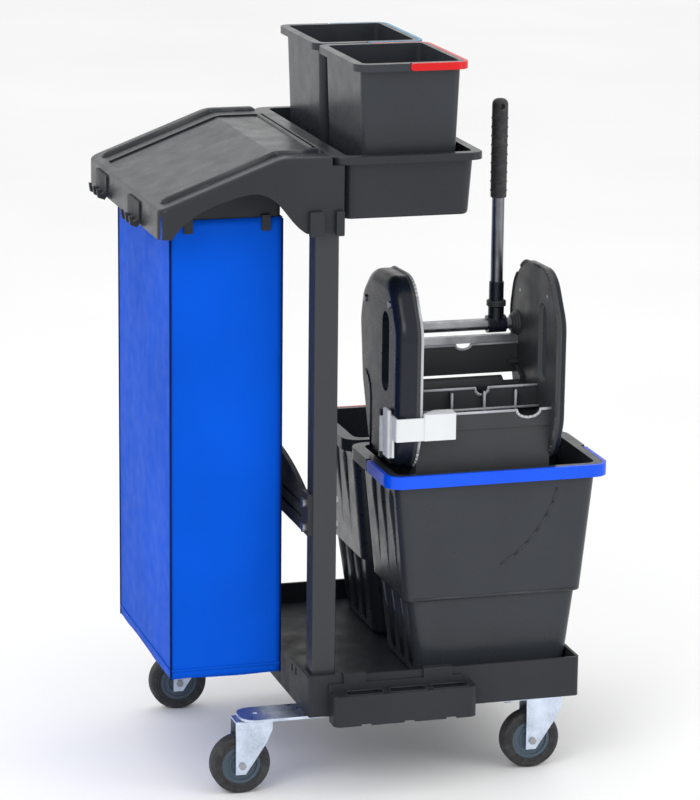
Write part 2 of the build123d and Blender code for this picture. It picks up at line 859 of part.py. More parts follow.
def small_bail(label, y):
    """A flat strap round the +X half of the rim, with a pin at each end."""
    with BuildPart() as bail:
        with BuildSketch(ground.offset(small_top - small_rim)):
            with Locations((small_x, y)):
                RectangleRounded(small_length, small_width, small_corner + small_overhang)
                RectangleRounded(
                    small_length - 2 * small_strap,
                    small_width - 2 * small_strap,
                    small_corner + small_overhang - small_strap,
                    mode=Mode.SUBTRACT,
                )
            with Locations((small_x + small_length, y)):
                Rectangle(2 * small_length, small_width, mode=Mode.INTERSECT)
        extrude(amount=small_rim)
        for face in (-1, 1):
            with BuildSketch(side.offset(-y - face * small_width / 2)):
                with Locations((small_x, small_pivot_z)):
                    Circle(small_rim / 2)
            extrude(amount=face * small_strap)
            with BuildSketch(side.offset(-y - face * small_width / 2)):
                with Locations((small_x, small_pivot_z)):
                    Circle(pivot_pin_radius)
            extrude(amount=face * (small_rebate + pivot_pin_depth))
    write(bail, label)


small_bucket("small_bucket_front", -small_y)
small_bucket("small_bucket_rear", small_y)
small_bail("small_bail_front", -small_y)
small_bail("small_bail_rear", small_y)

# --- Mopping buckets and their bails --------------------------------------------------------------

big_foot = deck_top + seat_gap
big_ledge = 305.0
big_wall = 3.5
big_corner = 20.0
big_rim_corner = 28.0
big_strap = 6.0
big_rebate = big_strap + 0.8
big_pivot_z = big_top - big_rim / 2
big_pivot_back = big_rim / 2 + 1
big_pin_radius = 4.0
big_pin_depth = 8.0
big_pivot_block = 30.0
big_foot_size = (258.0, 188.0)
big_under_ledge_size = (292.0, 196.0)
big_over_ledge_size = (308.0, 204.0)
big_body_size = (352.0, 212.0)


def bucket(label, y, outward):
    """A deep bucket with a ledge part way up and a rim rebated for its bail on the outward half."""
    with BuildPart() as pail:
        with BuildSketch(ground.offset(big_foot)):
            with Locations((big_x, y)):
                RectangleRounded(*big_foot_size, big_corner)
        with BuildSketch(ground.offset(big_ledge)):
            with Locations((big_x, y)):
                RectangleRounded(*big_under_ledge_size, big_corner)
        loft(ruled=True)
        fillet(pail.edges().group_by(Axis.Z)[0], 10)
        with BuildSketch(ground.offset(big_ledge)):
            with Locations((big_x, y)):
                RectangleRounded(*big_over_ledge_size, big_corner)
        with BuildSketch(ground.offset(big_top)):
            with Locations((big_x, y)):
                RectangleRounded(*big_body_size, big_corner)
        loft(ruled=True)
        with BuildSketch(ground.offset(big_top - big_rim)):
            with Locations((big_x, y)):
                RectangleRounded(big_length, big_width, big_rim_corner)
            with Locations((big_x, y - outward * (big_width + big_pivot_back))):
                Rectangle(big_length, 2 * big_width, mode=Mode.INTERSECT)
            with Locations((big_x, y)):
                RectangleRounded(
                    big_length - 2 * big_rebate, big_width - 2 * big_rebate, big_rim_corner - big_rebate
                )
        extrude(amount=big_rim)
        with BuildSketch(ground.offset(big_top - big_rim)):
            with Locations((big_x, y)):
                RectangleRounded(
                    big_length - 2 * big_rebate - 2 * rim_sheet,
                    big_width - 2 * big_rebate - 2 * rim_sheet,
                    big_rim_corner - big_rebate - rim_sheet,
                )
                RectangleRounded(*big_body_size, big_corner, mode=Mode.SUBTRACT)
                Rectangle(big_length, big_pivot_block, mode=Mode.SUBTRACT)
        extrude(amount=big_rim - big_wall, mode=Mode.SUBTRACT)
        with BuildSketch(ground.offset(big_foot + big_wall)):
            with Locations((big_x, y)):
                RectangleRounded(
                    big_foot_size[0] - 2 * big_wall, big_foot_size[1] - 2 * big_wall, big_corner - big_wall
                )
        with BuildSketch(ground.offset(big_ledge + big_wall)):
            with Locations((big_x, y)):
                RectangleRounded(
                    big_under_ledge_size[0] - 2 * big_wall,
                    big_under_ledge_size[1] - 2 * big_wall,
                    big_corner - big_wall,
                )
        loft(ruled=True, mode=Mode.SUBTRACT)
        with BuildSketch(ground.offset(big_ledge + big_wall)):
            with Locations((big_x, y)):
                RectangleRounded(
                    big_over_ledge_size[0] - 2 * big_wall,
                    big_over_ledge_size[1] - 2 * big_wall,
                    big_corner - big_wall,
                )
        with BuildSketch(ground.offset(big_top)):
            with Locations((big_x, y)):
                RectangleRounded(
                    big_body_size[0] - 2 * big_wall, big_body_size[1] - 2 * big_wall, big_corner - big_wall
                )
        loft(ruled=True, mode=Mode.SUBTRACT)
        for face in (-1, 1):
            with BuildSketch(end.offset(big_x + face * big_length / 2)):
                with Locations((y, big_pivot_z)):
                    Circle(big_pin_radius + running)
            extrude(amount=-face * (big_rebate + big_pin_depth + bail_clearance), mode=Mode.SUBTRACT)
    write(pail, label)


def bucket_bail(label, y, outward):
    """A flat strap round the outward half of the rim, with a pin at each end."""
    with BuildPart() as bail:
        with BuildSketch(ground.offset(big_top - big_rim)):
            with Locations((big_x, y)):
                RectangleRounded(big_length, big_width, big_rim_corner)
                RectangleRounded(
                    big_length - 2 * big_strap,
                    big_width - 2 * big_strap,
                    big_rim_corner - big_strap,
                    mode=Mode.SUBTRACT,
                )
            with Locations((big_x, y + outward * big_width)):
                Rectangle(big_length, 2 * big_width, mode=Mode.INTERSECT)
        extrude(amount=big_rim)
        for face in (-1, 1):
            with BuildSketch(end.offset(big_x + face * big_length / 2)):
                with Locations((y, big_pivot_z)):
                    Circle(big_rim / 2)
            extrude(amount=-face * big_strap)
            with BuildSketch(end.offset(big_x + face * big_length / 2)):
                with Locations((y, big_pivot_z)):
                    Circle(big_pin_radius)
            extrude(amount=-face * (big_rebate + big_pin_depth))
    write(bail, label)


bucket("bucket_front", -big_y, -1)
bucket("bucket_rear", big_y, 1)
bucket_bail("bail_front", -big_y, -1)
bucket_bail("bail_rear", big_y, 1)

# --- Wringer frame, covers and basket -------------------------------------------------------------

frame_outline = [
    (-60, 840),
    (-182, 844),
    (-234, 765),
    (-232, 596),
    (-200, 520),
    (-62, 520),
    (-12, 640),
    (4, 745),
    (-12, 798),
]
cover_low = big_top + 0.3
hole_wall = 3.0
right_cover_depth = 9.0
left_cover_walls = (20.0, 10.0, 6.0)
right_cover_walls = (5.0, 6.0, 3.0)
outline_round = 60.0
oval_y = -158.0
oval_z = 718.0
oval_length = 134.0
oval_width = 40.0
wringer_screws_at = [(-178, 800), (-40, 783)]
screw_radius = 3.0
boss_radius = 8.0


def wringer_frame(label, inner_x, outward):
    """A side plate with the shaft bore, the oval hole and the screw holes."""
    with BuildPart() as plate:
        with BuildSketch(end.offset(inner_x)) as outline:
            with BuildLine():
                Polyline(*frame_outline, close=True)
            make_face()
            fillet(outline.vertices(), outline_round)
            with Locations((oval_y, oval_z)):
                SlotOverall(oval_length, oval_width, rotation=90, mode=Mode.SUBTRACT)
            with Locations((shaft_y, shaft_z)):
                Circle(shaft_radius + running, mode=Mode.SUBTRACT)
            with Locations(*wringer_screws_at):
                Circle(screw_radius, mode=Mode.SUBTRACT)
        extrude(amount=outward * frame_sheet)
    write(plate, label)


lug_gap = 0.4
barrel_radius = 5.0
barrel_pin_radius = 2.5
latch_x = gap_left - frame_sheet - cover_depth - 5.5
latch_y = -163.0
latch_low = 551.0
latch_high = 621.0
lug_height = 9.0


def wringer_cover(label, inner_x, outward, depth, edge_round, edge_wall, face_wall):
    """A hollow moulding screwed over a side plate, open towards it."""
    with BuildPart() as cover:
        with BuildSketch(end.offset(inner_x)) as outline:
            with BuildLine():
                Polyline(*frame_outline, close=True)
            make_face()
            fillet(outline.vertices(), outline_round)
            with Locations(((frame_outline[3][0] + frame_outline[7][0]) / 2, cover_low - 100)):
                Rectangle(400, 200, mode=Mode.SUBTRACT)
        extrude(amount=outward * depth)
        rim_side = 1 if outward > 0 else 0
        fillet(cover.faces().sort_by(Axis.X)[-rim_side].edges(), edge_round)
        with BuildSketch(end.offset(inner_x)) as hollow:
            with BuildLine():
                Polyline(*frame_outline, close=True)
            make_face()
            fillet(hollow.vertices(), outline_round)
            with Locations(((frame_outline[3][0] + frame_outline[7][0]) / 2, cover_low - 100)):
                Rectangle(400, 200, mode=Mode.SUBTRACT)
            offset(amount=-edge_wall, mode=Mode.REPLACE)
            with Locations((oval_y, oval_z)):
                SlotOverall(
                    oval_length + 2 * hole_wall,
                    oval_width + 2 * hole_wall,
                    rotation=90,
                    mode=Mode.SUBTRACT,
                )
            with Locations(*wringer_screws_at):
                Circle(boss_radius, mode=Mode.SUBTRACT)
        extrude(amount=outward * (depth - face_wall), mode=Mode.SUBTRACT)
        with BuildSketch(end.offset(inner_x)):
            with Locations((oval_y, oval_z)):
                SlotOverall(oval_length, oval_width, rotation=90)
            with Locations(*wringer_screws_at):
                Circle(screw_radius)
        extrude(amount=outward * 2 * depth, mode=Mode.SUBTRACT)
        if outward < 0:
            for low in (latch_low - lug_gap - lug_height, latch_high - lug_height):
                with BuildSketch(ground.offset(low)):
                    with Locations(((latch_x - barrel_radius + inner_x - depth + 1) / 2, latch_y)):
                        Rectangle(inner_x - depth + 1 - latch_x + barrel_radius, 2 * barrel_radius)
                extrude(amount=lug_height)
            with BuildSketch(ground.offset(latch_low - lug_height)):
                with Locations((latch_x, latch_y)):
                    Circle(barrel_pin_radius)
            extrude(amount=latch_high - latch_low + lug_height)
    write(cover, label)


wringer_frame("wringer_frame_left", gap_left, -1)
wringer_frame("wringer_frame_right", gap_right, 1)
wringer_cover("wringer_cover_left", gap_left - frame_sheet, -1, cover_depth, *left_cover_walls)
wringer_cover("wringer_cover_right", gap_right + frame_sheet, 1, right_cover_depth, *right_cover_walls)

with BuildPart() as wringer_screws:
    for inner_x, outward, depth in ((gap_left, -1, cover_depth), (gap_right, 1, right_cover_depth)):
        with BuildSketch(end.offset(inner_x)):
            with Locations(*wringer_screws_at):
                Circle(screw_radius)
        extrude(amount=outward * (frame_sheet + depth))
        with BuildSketch(end.offset(inner_x + outward * (frame_sheet + depth))):
            with Locations(*wringer_screws_at):
                Circle(2 * screw_radius)
        extrude(amount=outward * 2.5)
write(wringer_screws, "wringer_screws")

brace_low = 694.0
with BuildPart() as wringer_brace:
    with Locations(((gap_left + gap_right) / 2, mid_y - 30, brace_low)):
        Box(
            gap_right - gap_left - 2 * seat_gap,
            12,
            12,
            align=(Align.CENTER, Align.CENTER, Align.MIN),
        )
write(wringer_brace, "wringer_brace")

basket_left = gap_left + seat_gap
basket_right = gap_right - seat_gap
basket_x = (basket_left + basket_right) / 2
basket_length = basket_right - basket_left
basket_front = -207.0
basket_rear = -28.0
basket_wall = 4.0
basket_low = 470.0
basket_high = 600.0
lip_low = 590.0
lip_high = 618.0
lip_reach = 3.0
dip_x = 263.0
dip_radius = 21.0
dip_depth = 13.0
foot_size = 20.0
foot_sheet = 3.5
feet_x = (86.0, 270.0)
feet_y = (-201.0, -67.0)
foot_low = big_foot + big_wall + seat_gap
press_wall_front = -137.0
press_wall_low = 588.0
press_wall_high = 641.0
ribs_at = (150.0, 207.0, 262.0)
rib_reach = 9.0

with BuildPart() as wringer_basket:
    with BuildSketch(ground.offset(basket_low)):
        with Locations((basket_x, (basket_front + basket_rear) / 2)):
            Rectangle(basket_length, basket_rear - basket_front)
    extrude(amount=basket_high - basket_low)
    with BuildSketch(ground.offset(lip_low)):
        with Locations((basket_x, basket_front + (basket_wall - lip_reach) / 2)):
            Rectangle(basket_length, basket_wall + lip_reach)
    extrude(amount=lip_high - lip_low)
    with BuildSketch(ground.offset(basket_low + basket_wall)):
        with Locations((basket_x, (basket_front + basket_rear) / 2)):
            Rectangle(basket_length - 2 * basket_wall, basket_rear - basket_front - 2 * basket_wall)
    extrude(amount=2 * basket_high, mode=Mode.SUBTRACT)
    with BuildSketch(ground.offset(basket_low)):
        with Locations((basket_x, (basket_front + basket_rear) / 2)):
            with GridLocations(23, 23, 9, 7):
                Circle(5)
    extrude(amount=basket_wall, mode=Mode.SUBTRACT)
    with BuildSketch(side.offset(-press_wall_front)):
        with Locations((basket_x, (press_wall_low + press_wall_high) / 2)):
            Rectangle(basket_length, press_wall_high - press_wall_low)
        with Locations((205, press_wall_high)):
            Circle(12, mode=Mode.SUBTRACT)
    extrude(amount=-basket_wall)
    with BuildSketch(side.offset(-press_wall_front)):
        with Locations(*[(x, (press_wall_low + press_wall_high) / 2) for x in ribs_at]):
            Rectangle(4, press_wall_high - press_wall_low - 10)
        with Locations((basket_x, 607)):
            Rectangle(basket_length, 6)
    extrude(amount=rib_reach)
    with BuildSketch(side.offset(-basket_front + lip_reach + 1)):
        with Locations((dip_x, lip_high)):
            Ellipse(dip_radius, dip_depth)
    extrude(amount=-2 * basket_wall - lip_reach, mode=Mode.SUBTRACT)
    for x in feet_x:
        for y in feet_y:
            with BuildSketch(ground.offset(foot_low)):
                with Locations((x, y)):
                    Rectangle(foot_size, foot_size, align=(Align.MIN, Align.MIN))
                with Locations((x + foot_sheet, y + foot_sheet)):
                    Rectangle(foot_size, foot_size, align=(Align.MIN, Align.MIN), mode=Mode.SUBTRACT)
            extrude(amount=basket_low + 1 - foot_low)
write(wringer_basket, "wringer_basket")

# --- Press jaw ------------------------------------------------------------------------------------

jaw_front = -33.0
jaw_sheet = 6.0
jaw_low = 640.0
jaw_high = 691.0
jaw_left = gap_left + slide_gap
jaw_right = gap_right - slide_gap
jaw_arm = 6.0
bar_y = -56.0
bar_z = 625.0
bar_radius = 16.0
bar_ends = (104.0, 266.0)
journal_radius = 7.0
jaw_arm_outline = [(-27, 691), (-33, 691), (-34, 655), (-68, 640), (-68, 612), (-44, 612), (-27, 640)]

with BuildPart() as press_jaw:
    with BuildSketch(side.offset(-jaw_front)):
        with Locations(((jaw_left + jaw_right) / 2, (jaw_low + jaw_high) / 2)):
            Rectangle(jaw_right - jaw_left, jaw_high - jaw_low)
        with Locations((205, jaw_high)):
            Ellipse(14, 8, mode=Mode.SUBTRACT)
    extrude(amount=-jaw_sheet)
    with Locations((jaw_right - 9, mid_y + jaw_front - 4, 660)):
        Box(18, 8, 7)
    for inner_x, inward in ((jaw_left, 1), (jaw_right, -1)):
        with BuildSketch(end.offset(inner_x)):
            with BuildLine():
                Polyline(*jaw_arm_outline, close=True)
            make_face()
            with Locations((bar_y, bar_z)):
                Circle(journal_radius + running, mode=Mode.SUBTRACT)
        extrude(amount=inward * jaw_arm)
    with BuildSketch(end.offset(bar_ends[0])):
        with Locations((bar_y, bar_z)):
            Circle(bar_radius)
    extrude(amount=bar_ends[1] - bar_ends[0])
    with BuildSketch(end.offset(jaw_left)):
        with Locations((bar_y, bar_z)):
            Circle(journal_radius)
    extrude(amount=jaw_right - jaw_left)
write(press_jaw, "press_jaw")

# --- Shaft and lever ------------------------------------------------------------------------------

shaft_left = gap_left - frame_sheet - 4
shaft_right = gap_right + frame_sheet + 4
sleeve_radius = 15.0
sleeve_length = 32.0
lever_radius = 10.5
lever_low = shaft_z + 16
socket_top_z = 753.8
ring_top = 766.4
collar_top = 797.6
lever_top = 1082.0
grip_low = 941.5
grip_high = 1109.0
grip_radius = 13.5
hang_hole_z = 1097.0
hang_hole_radius = 4.5
lever_plane = Plane(origin=(lever_x, mid_y + shaft_y, 0))

with BuildPart() as wringer_shaft:
    with BuildSketch(end.offset(shaft_left)):
        with Locations((shaft_y, shaft_z)):
            Circle(shaft_radius)
    extrude(amount=shaft_right - shaft_left)
write(wringer_shaft, "wringer_shaft")

with BuildPart() as lever_socket:
    with BuildSketch(end.offset(lever_x - sleeve_length / 2)):
        with Locations((shaft_y, shaft_z)):
            Circle(sleeve_radius)
    extrude(amount=sleeve_length)
    with BuildSketch(lever_plane.offset(shaft_z)):
        Circle(13.5)
    extrude(amount=socket_top_z - shaft_z)
    with BuildSketch(end.offset(lever_x - sleeve_length / 2)):
        with Locations((shaft_y, shaft_z)):
            Circle(shaft_radius + running)
    extrude(amount=sleeve_length, mode=Mode.SUBTRACT)
    with BuildSketch(lever_plane.offset(lever_low - seat_gap)):
        Circle(lever_radius + running)
    extrude(amount=100, mode=Mode.SUBTRACT)
write(lever_socket, "lever_socket")

with BuildPart() as lever_collar:
    with BuildSketch(lever_plane.offset(socket_top_z + seat_gap)):
        Circle(15.5)
    extrude(amount=ring_top - socket_top_z - seat_gap)
    fillet(lever_collar.edges(), 3)
    with BuildSketch(lever_plane.offset(ring_top)):
        Circle(12.5)
    extrude(amount=collar_top - ring_top)
    fillet(lever_collar.edges().group_by(Axis.Z)[-1], 1.5)
    with BuildSketch(lever_plane.offset(socket_top_z)):
        Circle(lever_radius + running)
    extrude(amount=100, mode=Mode.SUBTRACT)
write(lever_collar, "lever_collar")

with BuildPart() as lever_tube:
    with BuildSketch(lever_plane.offset(lever_low)):
        Circle(lever_radius)
        Circle(lever_radius - 2, mode=Mode.SUBTRACT)
    extrude(amount=lever_top - lever_low)
write(lever_tube, "lever_tube")

with BuildPart() as lever_grip:
    with BuildSketch(lever_plane.offset(grip_low)):
        Circle(grip_radius)
    extrude(amount=grip_high - grip_low)
    fillet(lever_grip.edges().group_by(Axis.Z)[-1], 10)
    fillet(lever_grip.edges().group_by(Axis.Z)[0], 2)
    with BuildSketch(lever_plane.offset(grip_low)):
        Circle(lever_radius + running)
    extrude(amount=lever_top + seat_gap - grip_low, mode=Mode.SUBTRACT)
    with BuildSketch(Plane(origin=(lever_x, mid_y + shaft_y, hang_hole_z), z_dir=(0, 1, 0))):
        Circle(hang_hole_radius)
    extrude(amount=2 * grip_radius, both=True, mode=Mode.SUBTRACT)
write(lever_grip, "lever_grip")

# --- Wringer latch --------------------------------------------------------------------------------

latch_sheet = 4.0
latch_inner_x = gap_left - frame_sheet - cover_depth - slide_gap
latch_inner_y = -234.6
block_left = 73.0
block_right = 128.0
block_front = -241.0
block_rear = basket_front - lip_reach - 0.5
block_low = 583.0
block_height = 44.0
block_slant = 24.5
block_neck = 8.0
tab_front = -215.0

with BuildPart() as wringer_latch:
    with BuildSketch(ground.offset(latch_low)):
        with BuildLine():
            Polyline(
                (latch_inner_x, latch_y),
                (latch_inner_x, latch_inner_y),
                (block_left + 5, latch_inner_y),
                (block_left + 5, latch_inner_y - latch_sheet),
                (latch_inner_x - latch_sheet, latch_inner_y - latch_sheet),
                (latch_inner_x - latch_sheet, latch_y),
                close=True,
            )
        make_face()
    extrude(amount=latch_high - latch_low)
    fillet(wringer_latch.edges().filter_by(Axis.Z).group_by(Axis.Y)[0].group_by(Axis.X)[0], 3)
    with BuildSketch(ground.offset(latch_low)):
        with Locations((block_left, 2 * tab_front)):
            Rectangle(400, -2 * tab_front)
    extrude(amount=block_low - latch_low, mode=Mode.SUBTRACT)
    with BuildSketch(ground.offset(block_low)) as block:
        with BuildLine():
            Polyline(
                (block_left, block_front),
                (block_right, block_front),
                (block_right, block_rear),
                (block_left + block_slant, block_rear),
                (block_left, block_front + block_neck),
                close=True,
            )
        make_face()
        fillet(block.vertices(), 3)
    extrude(amount=block_height)
    with BuildSketch(ground.offset(latch_low)):
        with Locations((latch_x, latch_y)):
            Circle(barrel_radius)
    extrude(amount=latch_high - latch_low)
    with BuildSketch(ground.offset(latch_high - lug_height - lug_gap)):
        with Locations((latch_x - 1, latch_y)):
            Rectangle(4 * barrel_radius - 6, 2 * barrel_radius + 2)
    extrude(amount=100, mode=Mode.SUBTRACT)
    with BuildSketch(ground.offset(latch_low)):
        with Locations((latch_x, latch_y)):
            Circle(barrel_pin_radius + running)
    extrude(amount=100, mode=Mode.SUBTRACT)
write(wringer_latch, "wringer_latch")

# --- Handle rest ----------------------------------------------------------------------------------

rest_sheet = 4.0
rest_rear = -base_width / 2 - seat_gap
rest_front = -300.0
rest_left = -91.0
rest_right = 154.0
rest_low = 123.0
rest_high = 175.0
plate_top = 188.0
strip_left = -93.0
strip_right = 136.5
strip_low = 134.0
rest_hooks = [(-68.0, -30.0), (69.5, 119.0)]
rest_hook_top = base_top + seat_gap
hook_inner = -base_width / 2 + base_wall + seat_gap
cup_width = 62.0
cups_at = (-36.5, 37.5, 109.5)
cup_front = rest_front + rest_sheet
cup_rear = rest_rear - rest_sheet - 3

with BuildPart() as handle_rest:
    with BuildSketch(ground.offset(rest_low)) as footprint:
        with Locations(((rest_left + rest_right) / 2, (rest_front + rest_rear) / 2)):
            Rectangle(rest_right - rest_left, rest_rear - rest_front)
        fillet(footprint.vertices().group_by(Axis.Y)[0], 12)
    extrude(amount=rest_high - rest_low)
    with BuildSketch(side.offset(-rest_rear)):
        with Locations(((strip_left + strip_right) / 2, (strip_low + plate_top) / 2)):
            Rectangle(strip_right - strip_left, plate_top - strip_low)
        for low, high in rest_hooks:
            with Locations(((low + high) / 2, (strip_low + rest_hook_top + 3) / 2)):
                Rectangle(high - low, rest_hook_top + 3 - strip_low)
    extrude(amount=rest_sheet)
    for low, high in rest_hooks:
        with BuildSketch(end.offset(low)):
            with BuildLine():
                Polyline(
                    (rest_rear - rest_sheet, rest_hook_top),
                    (rest_rear - rest_sheet, rest_hook_top + 3),
                    (hook_inner + 3, rest_hook_top + 3),
                    (hook_inner + 3, rest_hook_top - 12),
                    (hook_inner, rest_hook_top - 12),
                    (hook_inner, rest_hook_top),
                    close=True,
                )
            make_face()
        extrude(amount=high - low)
    with BuildSketch(ground.offset(rest_low + rest_sheet)):
        with Locations(*[(x, (cup_front + cup_rear) / 2) for x in cups_at]):
            RectangleRounded(cup_width, cup_rear - cup_front, 6)
    extrude(amount=100, mode=Mode.SUBTRACT)
    with BuildSketch(side.offset(-rest_front)):
        with Locations(*[(x, rest_low) for x in cups_at]):
            Rectangle(18, 6)
    extrude(amount=-2 * rest_sheet, mode=Mode.SUBTRACT)
write(handle_rest, "handle_rest")
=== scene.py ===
"""Looks for the housekeeping cart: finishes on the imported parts, the cloth bag and the finer mouldings."""

import math

import bmesh
import bpy
from bpy.props import FloatProperty, FloatVectorProperty, IntProperty, PointerProperty
from bpy.types import Operator, Panel, PropertyGroup
from mathutils import Matrix, Vector, noise


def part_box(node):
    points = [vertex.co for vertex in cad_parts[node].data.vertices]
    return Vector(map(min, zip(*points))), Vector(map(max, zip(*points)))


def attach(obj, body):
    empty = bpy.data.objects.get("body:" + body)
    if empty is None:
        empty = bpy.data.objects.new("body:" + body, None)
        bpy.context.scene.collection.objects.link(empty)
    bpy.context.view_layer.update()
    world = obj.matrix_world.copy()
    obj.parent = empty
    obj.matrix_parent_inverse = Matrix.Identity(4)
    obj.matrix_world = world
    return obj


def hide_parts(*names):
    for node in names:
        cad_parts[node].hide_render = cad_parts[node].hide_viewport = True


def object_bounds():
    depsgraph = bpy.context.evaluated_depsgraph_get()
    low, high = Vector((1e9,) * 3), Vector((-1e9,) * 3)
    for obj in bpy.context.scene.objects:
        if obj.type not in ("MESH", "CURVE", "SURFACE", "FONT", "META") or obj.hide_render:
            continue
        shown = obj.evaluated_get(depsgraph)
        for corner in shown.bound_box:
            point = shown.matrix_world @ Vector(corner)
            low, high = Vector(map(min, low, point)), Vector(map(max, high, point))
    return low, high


bl_info = {
    "name": "Housekeeping cart",
    "version": (1, 0, 0),
    "blender": (4, 5, 0),
    "location": "View3D > Sidebar > Cart",
    "description": "Builds the visible pieces and finishes of a housekeeping cart",
    "category": "Object",
}

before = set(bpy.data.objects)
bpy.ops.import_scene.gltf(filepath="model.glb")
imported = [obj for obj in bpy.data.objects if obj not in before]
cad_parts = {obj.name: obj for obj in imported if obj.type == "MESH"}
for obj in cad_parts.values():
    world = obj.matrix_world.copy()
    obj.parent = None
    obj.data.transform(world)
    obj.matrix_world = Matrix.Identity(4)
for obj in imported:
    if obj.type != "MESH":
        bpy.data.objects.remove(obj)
cad_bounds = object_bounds()
CORNERS = ("front_left", "rear_left", "front_right", "rear_right")

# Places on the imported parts, in metres unless said otherwise
MID_Y = 0.017
LEDGE_Z = 0.305
BUCKET_HALF_WIDTH = 0.118
FLUTES_AT = (0.062, 0.012, -0.038)
SWEEP = (
    (0.104, 0.486),
    (0.097, 0.462),
    (0.086, 0.440),
    (0.070, 0.415),
    (0.053, 0.395),
    (0.033, 0.376),
    (0.008, 0.361),
)
COVER_DEPTH = 0.032
RAIL_HALF = 0.217
RAIL_RADIUS = 0.014
RAIL_RISE = 0.0055
RAIL_LINE = ((-0.350, 0.9965), (-0.173, 1.064), (-0.105, 1.064))
FLUTE_RADIUS = 0.022
SWEEP_RADIUS = 0.0022
LEDGE_LIP_RADIUS = 0.0034
LIP_TOP = 0.618
LIP_DIP = (0.263, 0.021, 0.013)
PRESS_WALL_Y = -0.137
PRESS_WALL_TOP = 0.641
PRESS_WALL_DIP = (0.205, 0.012, 0.012)
PRESS_SHELF = 0.607
RIBS_AT = (0.150, 0.207, 0.262)
RIB_REACH = 0.009
RIB_LOW = 0.594
RIB_HIGH = 0.635
FRAME_EDGE_LOW = 0.530
SHAFT_Y = -0.028
SHAFT_Z = 0.724
BOSS_STEPS = ((0.0, 0.022), (0.004, 0.019), (0.008, 0.016))
BOSS_ROUND = 0.005
ARCH_RADIUS = 0.0018
TAB_Y = -0.194
TAB_SHEET = 0.007
TAB_WIDTH = 0.030
TAB_ROUND = 0.0034
JAW_Y = -0.033
JAW_DIP = (0.205, 0.014, 0.008)
BAND_HEIGHTS = (0.757, 0.760, 0.763)
CUPS_AT = (-0.0365, 0.0375, 0.1095)
CUP_FRONT = -0.296
CUP_REAR = -0.2727
CUP_HALF = 0.031
CUP_TOP = 0.175
CUP_CORNER = 0.006
CUP_RIM_RADIUS = 0.0018
FRAME_ROUND = 0.060
FRAME_OUTLINE = (
    (-60, 840),
    (-182, 844),
    (-234, 765),
    (-232, 596),
    (-200, 520),
    (-62, 520),
    (-12, 640),
    (4, 745),
    (-12, 798),
)  # millimetres
ARCH = ((-78, 532), (-78, 622), (-73, 642), (-62, 655), (-46, 662))  # millimetres


# --- Settings -----------------------------------------------------------------------------------


def colour_setting(name, description, default):
    """A colour that shows as a swatch in the panel."""
    return FloatVectorProperty(
        name=name, description=description, subtype="COLOR", size=3, min=0, max=1, default=default
    )


def length_setting(name, description, default):
    """A length in metres."""
    return FloatProperty(name=name, description=description, default=default, unit="LENGTH", precision=4)


class CartColours(PropertyGroup):
    """Colours of the mouldings, metal and cloth."""

    charcoal: colour_setting("Charcoal", "Grained mouldings of the chassis", (0.021, 0.023, 0.027))
    gloss: colour_setting("Gloss charcoal", "Shroud, lid and top tray", (0.019, 0.021, 0.025))
    bucket: colour_setting("Bucket grey", "All four buckets", (0.027, 0.031, 0.037))
    navy: colour_setting("Navy", "Covers of the wringer", (0.007, 0.010, 0.017))
    wringer: colour_setting("Wringer grey", "Frames and basket of the wringer", (0.040, 0.042, 0.045))
    latch: colour_setting("Pale grey", "Latch on the wringer", (0.62, 0.64, 0.66))
    zinc: colour_setting("Zinc", "Caster forks and arms", (0.56, 0.63, 0.74))
    steel: colour_setting("Steel", "Bolts, bars and screws", (0.34, 0.35, 0.37))
    lever: colour_setting("Lever", "Tube of the lever", (0.17, 0.175, 0.19))
    rubber: colour_setting("Rubber", "Tyres", (0.016, 0.016, 0.018))
    wheel: colour_setting("Wheel centre", "Discs inside the tyres", (0.070, 0.100, 0.130))
    bag: colour_setting("Bag blue", "Cloth of the waste bag", (0.000, 0.084, 0.620))
    # Painted shade: the piping's dark navy stands in for the shade in the bag's corner seams.
    piping: colour_setting("Piping", "Edge binding of the bag, dark as painted seam shade", (0.004, 0.012, 0.085))
    blue: colour_setting("Blue", "Bail of the front mopping bucket", (0.000, 0.075, 0.740))
    red: colour_setting("Red", "Red bails", (0.560, 0.006, 0.008))
    teal: colour_setting("Teal", "Bail of the rear small bucket", (0.008, 0.230, 0.390))
    # Painted highlight: light grey for the beads along the wringer's edges, standing in for the light the
    # rounded edges catch.
    bead: colour_setting("Bead", "Painted highlight on the wringer's edges", (0.440, 0.450, 0.480))


class CartSizes(PropertyGroup):
    """Sizes of the pieces that are made here."""

    bag_bulge: length_setting("Bag bulge", "How far the bag's sides stand out", 0.004)
    bag_crease: length_setting("Bag creases", "Depth of the soft creases in the bag", 0.0022)
    piping_radius: length_setting("Piping radius", "Radius of the bag's edge binding", 0.0017)
    bead_radius: length_setting("Bead radius", "Radius of the beads along the wringer's edges", 0.0023)
    grip_ribs: IntProperty(
        name="Grip ribs", description="Raised rings on the lever's grip", default=9, min=0
    )


def colours():
    """The colour settings of the scene."""
    return bpy.context.scene.cart_colours


def sizes():
    """The size settings of the scene."""
    return bpy.context.scene.cart_sizes


# --- Finishes -----------------------------------------------------------------------------------


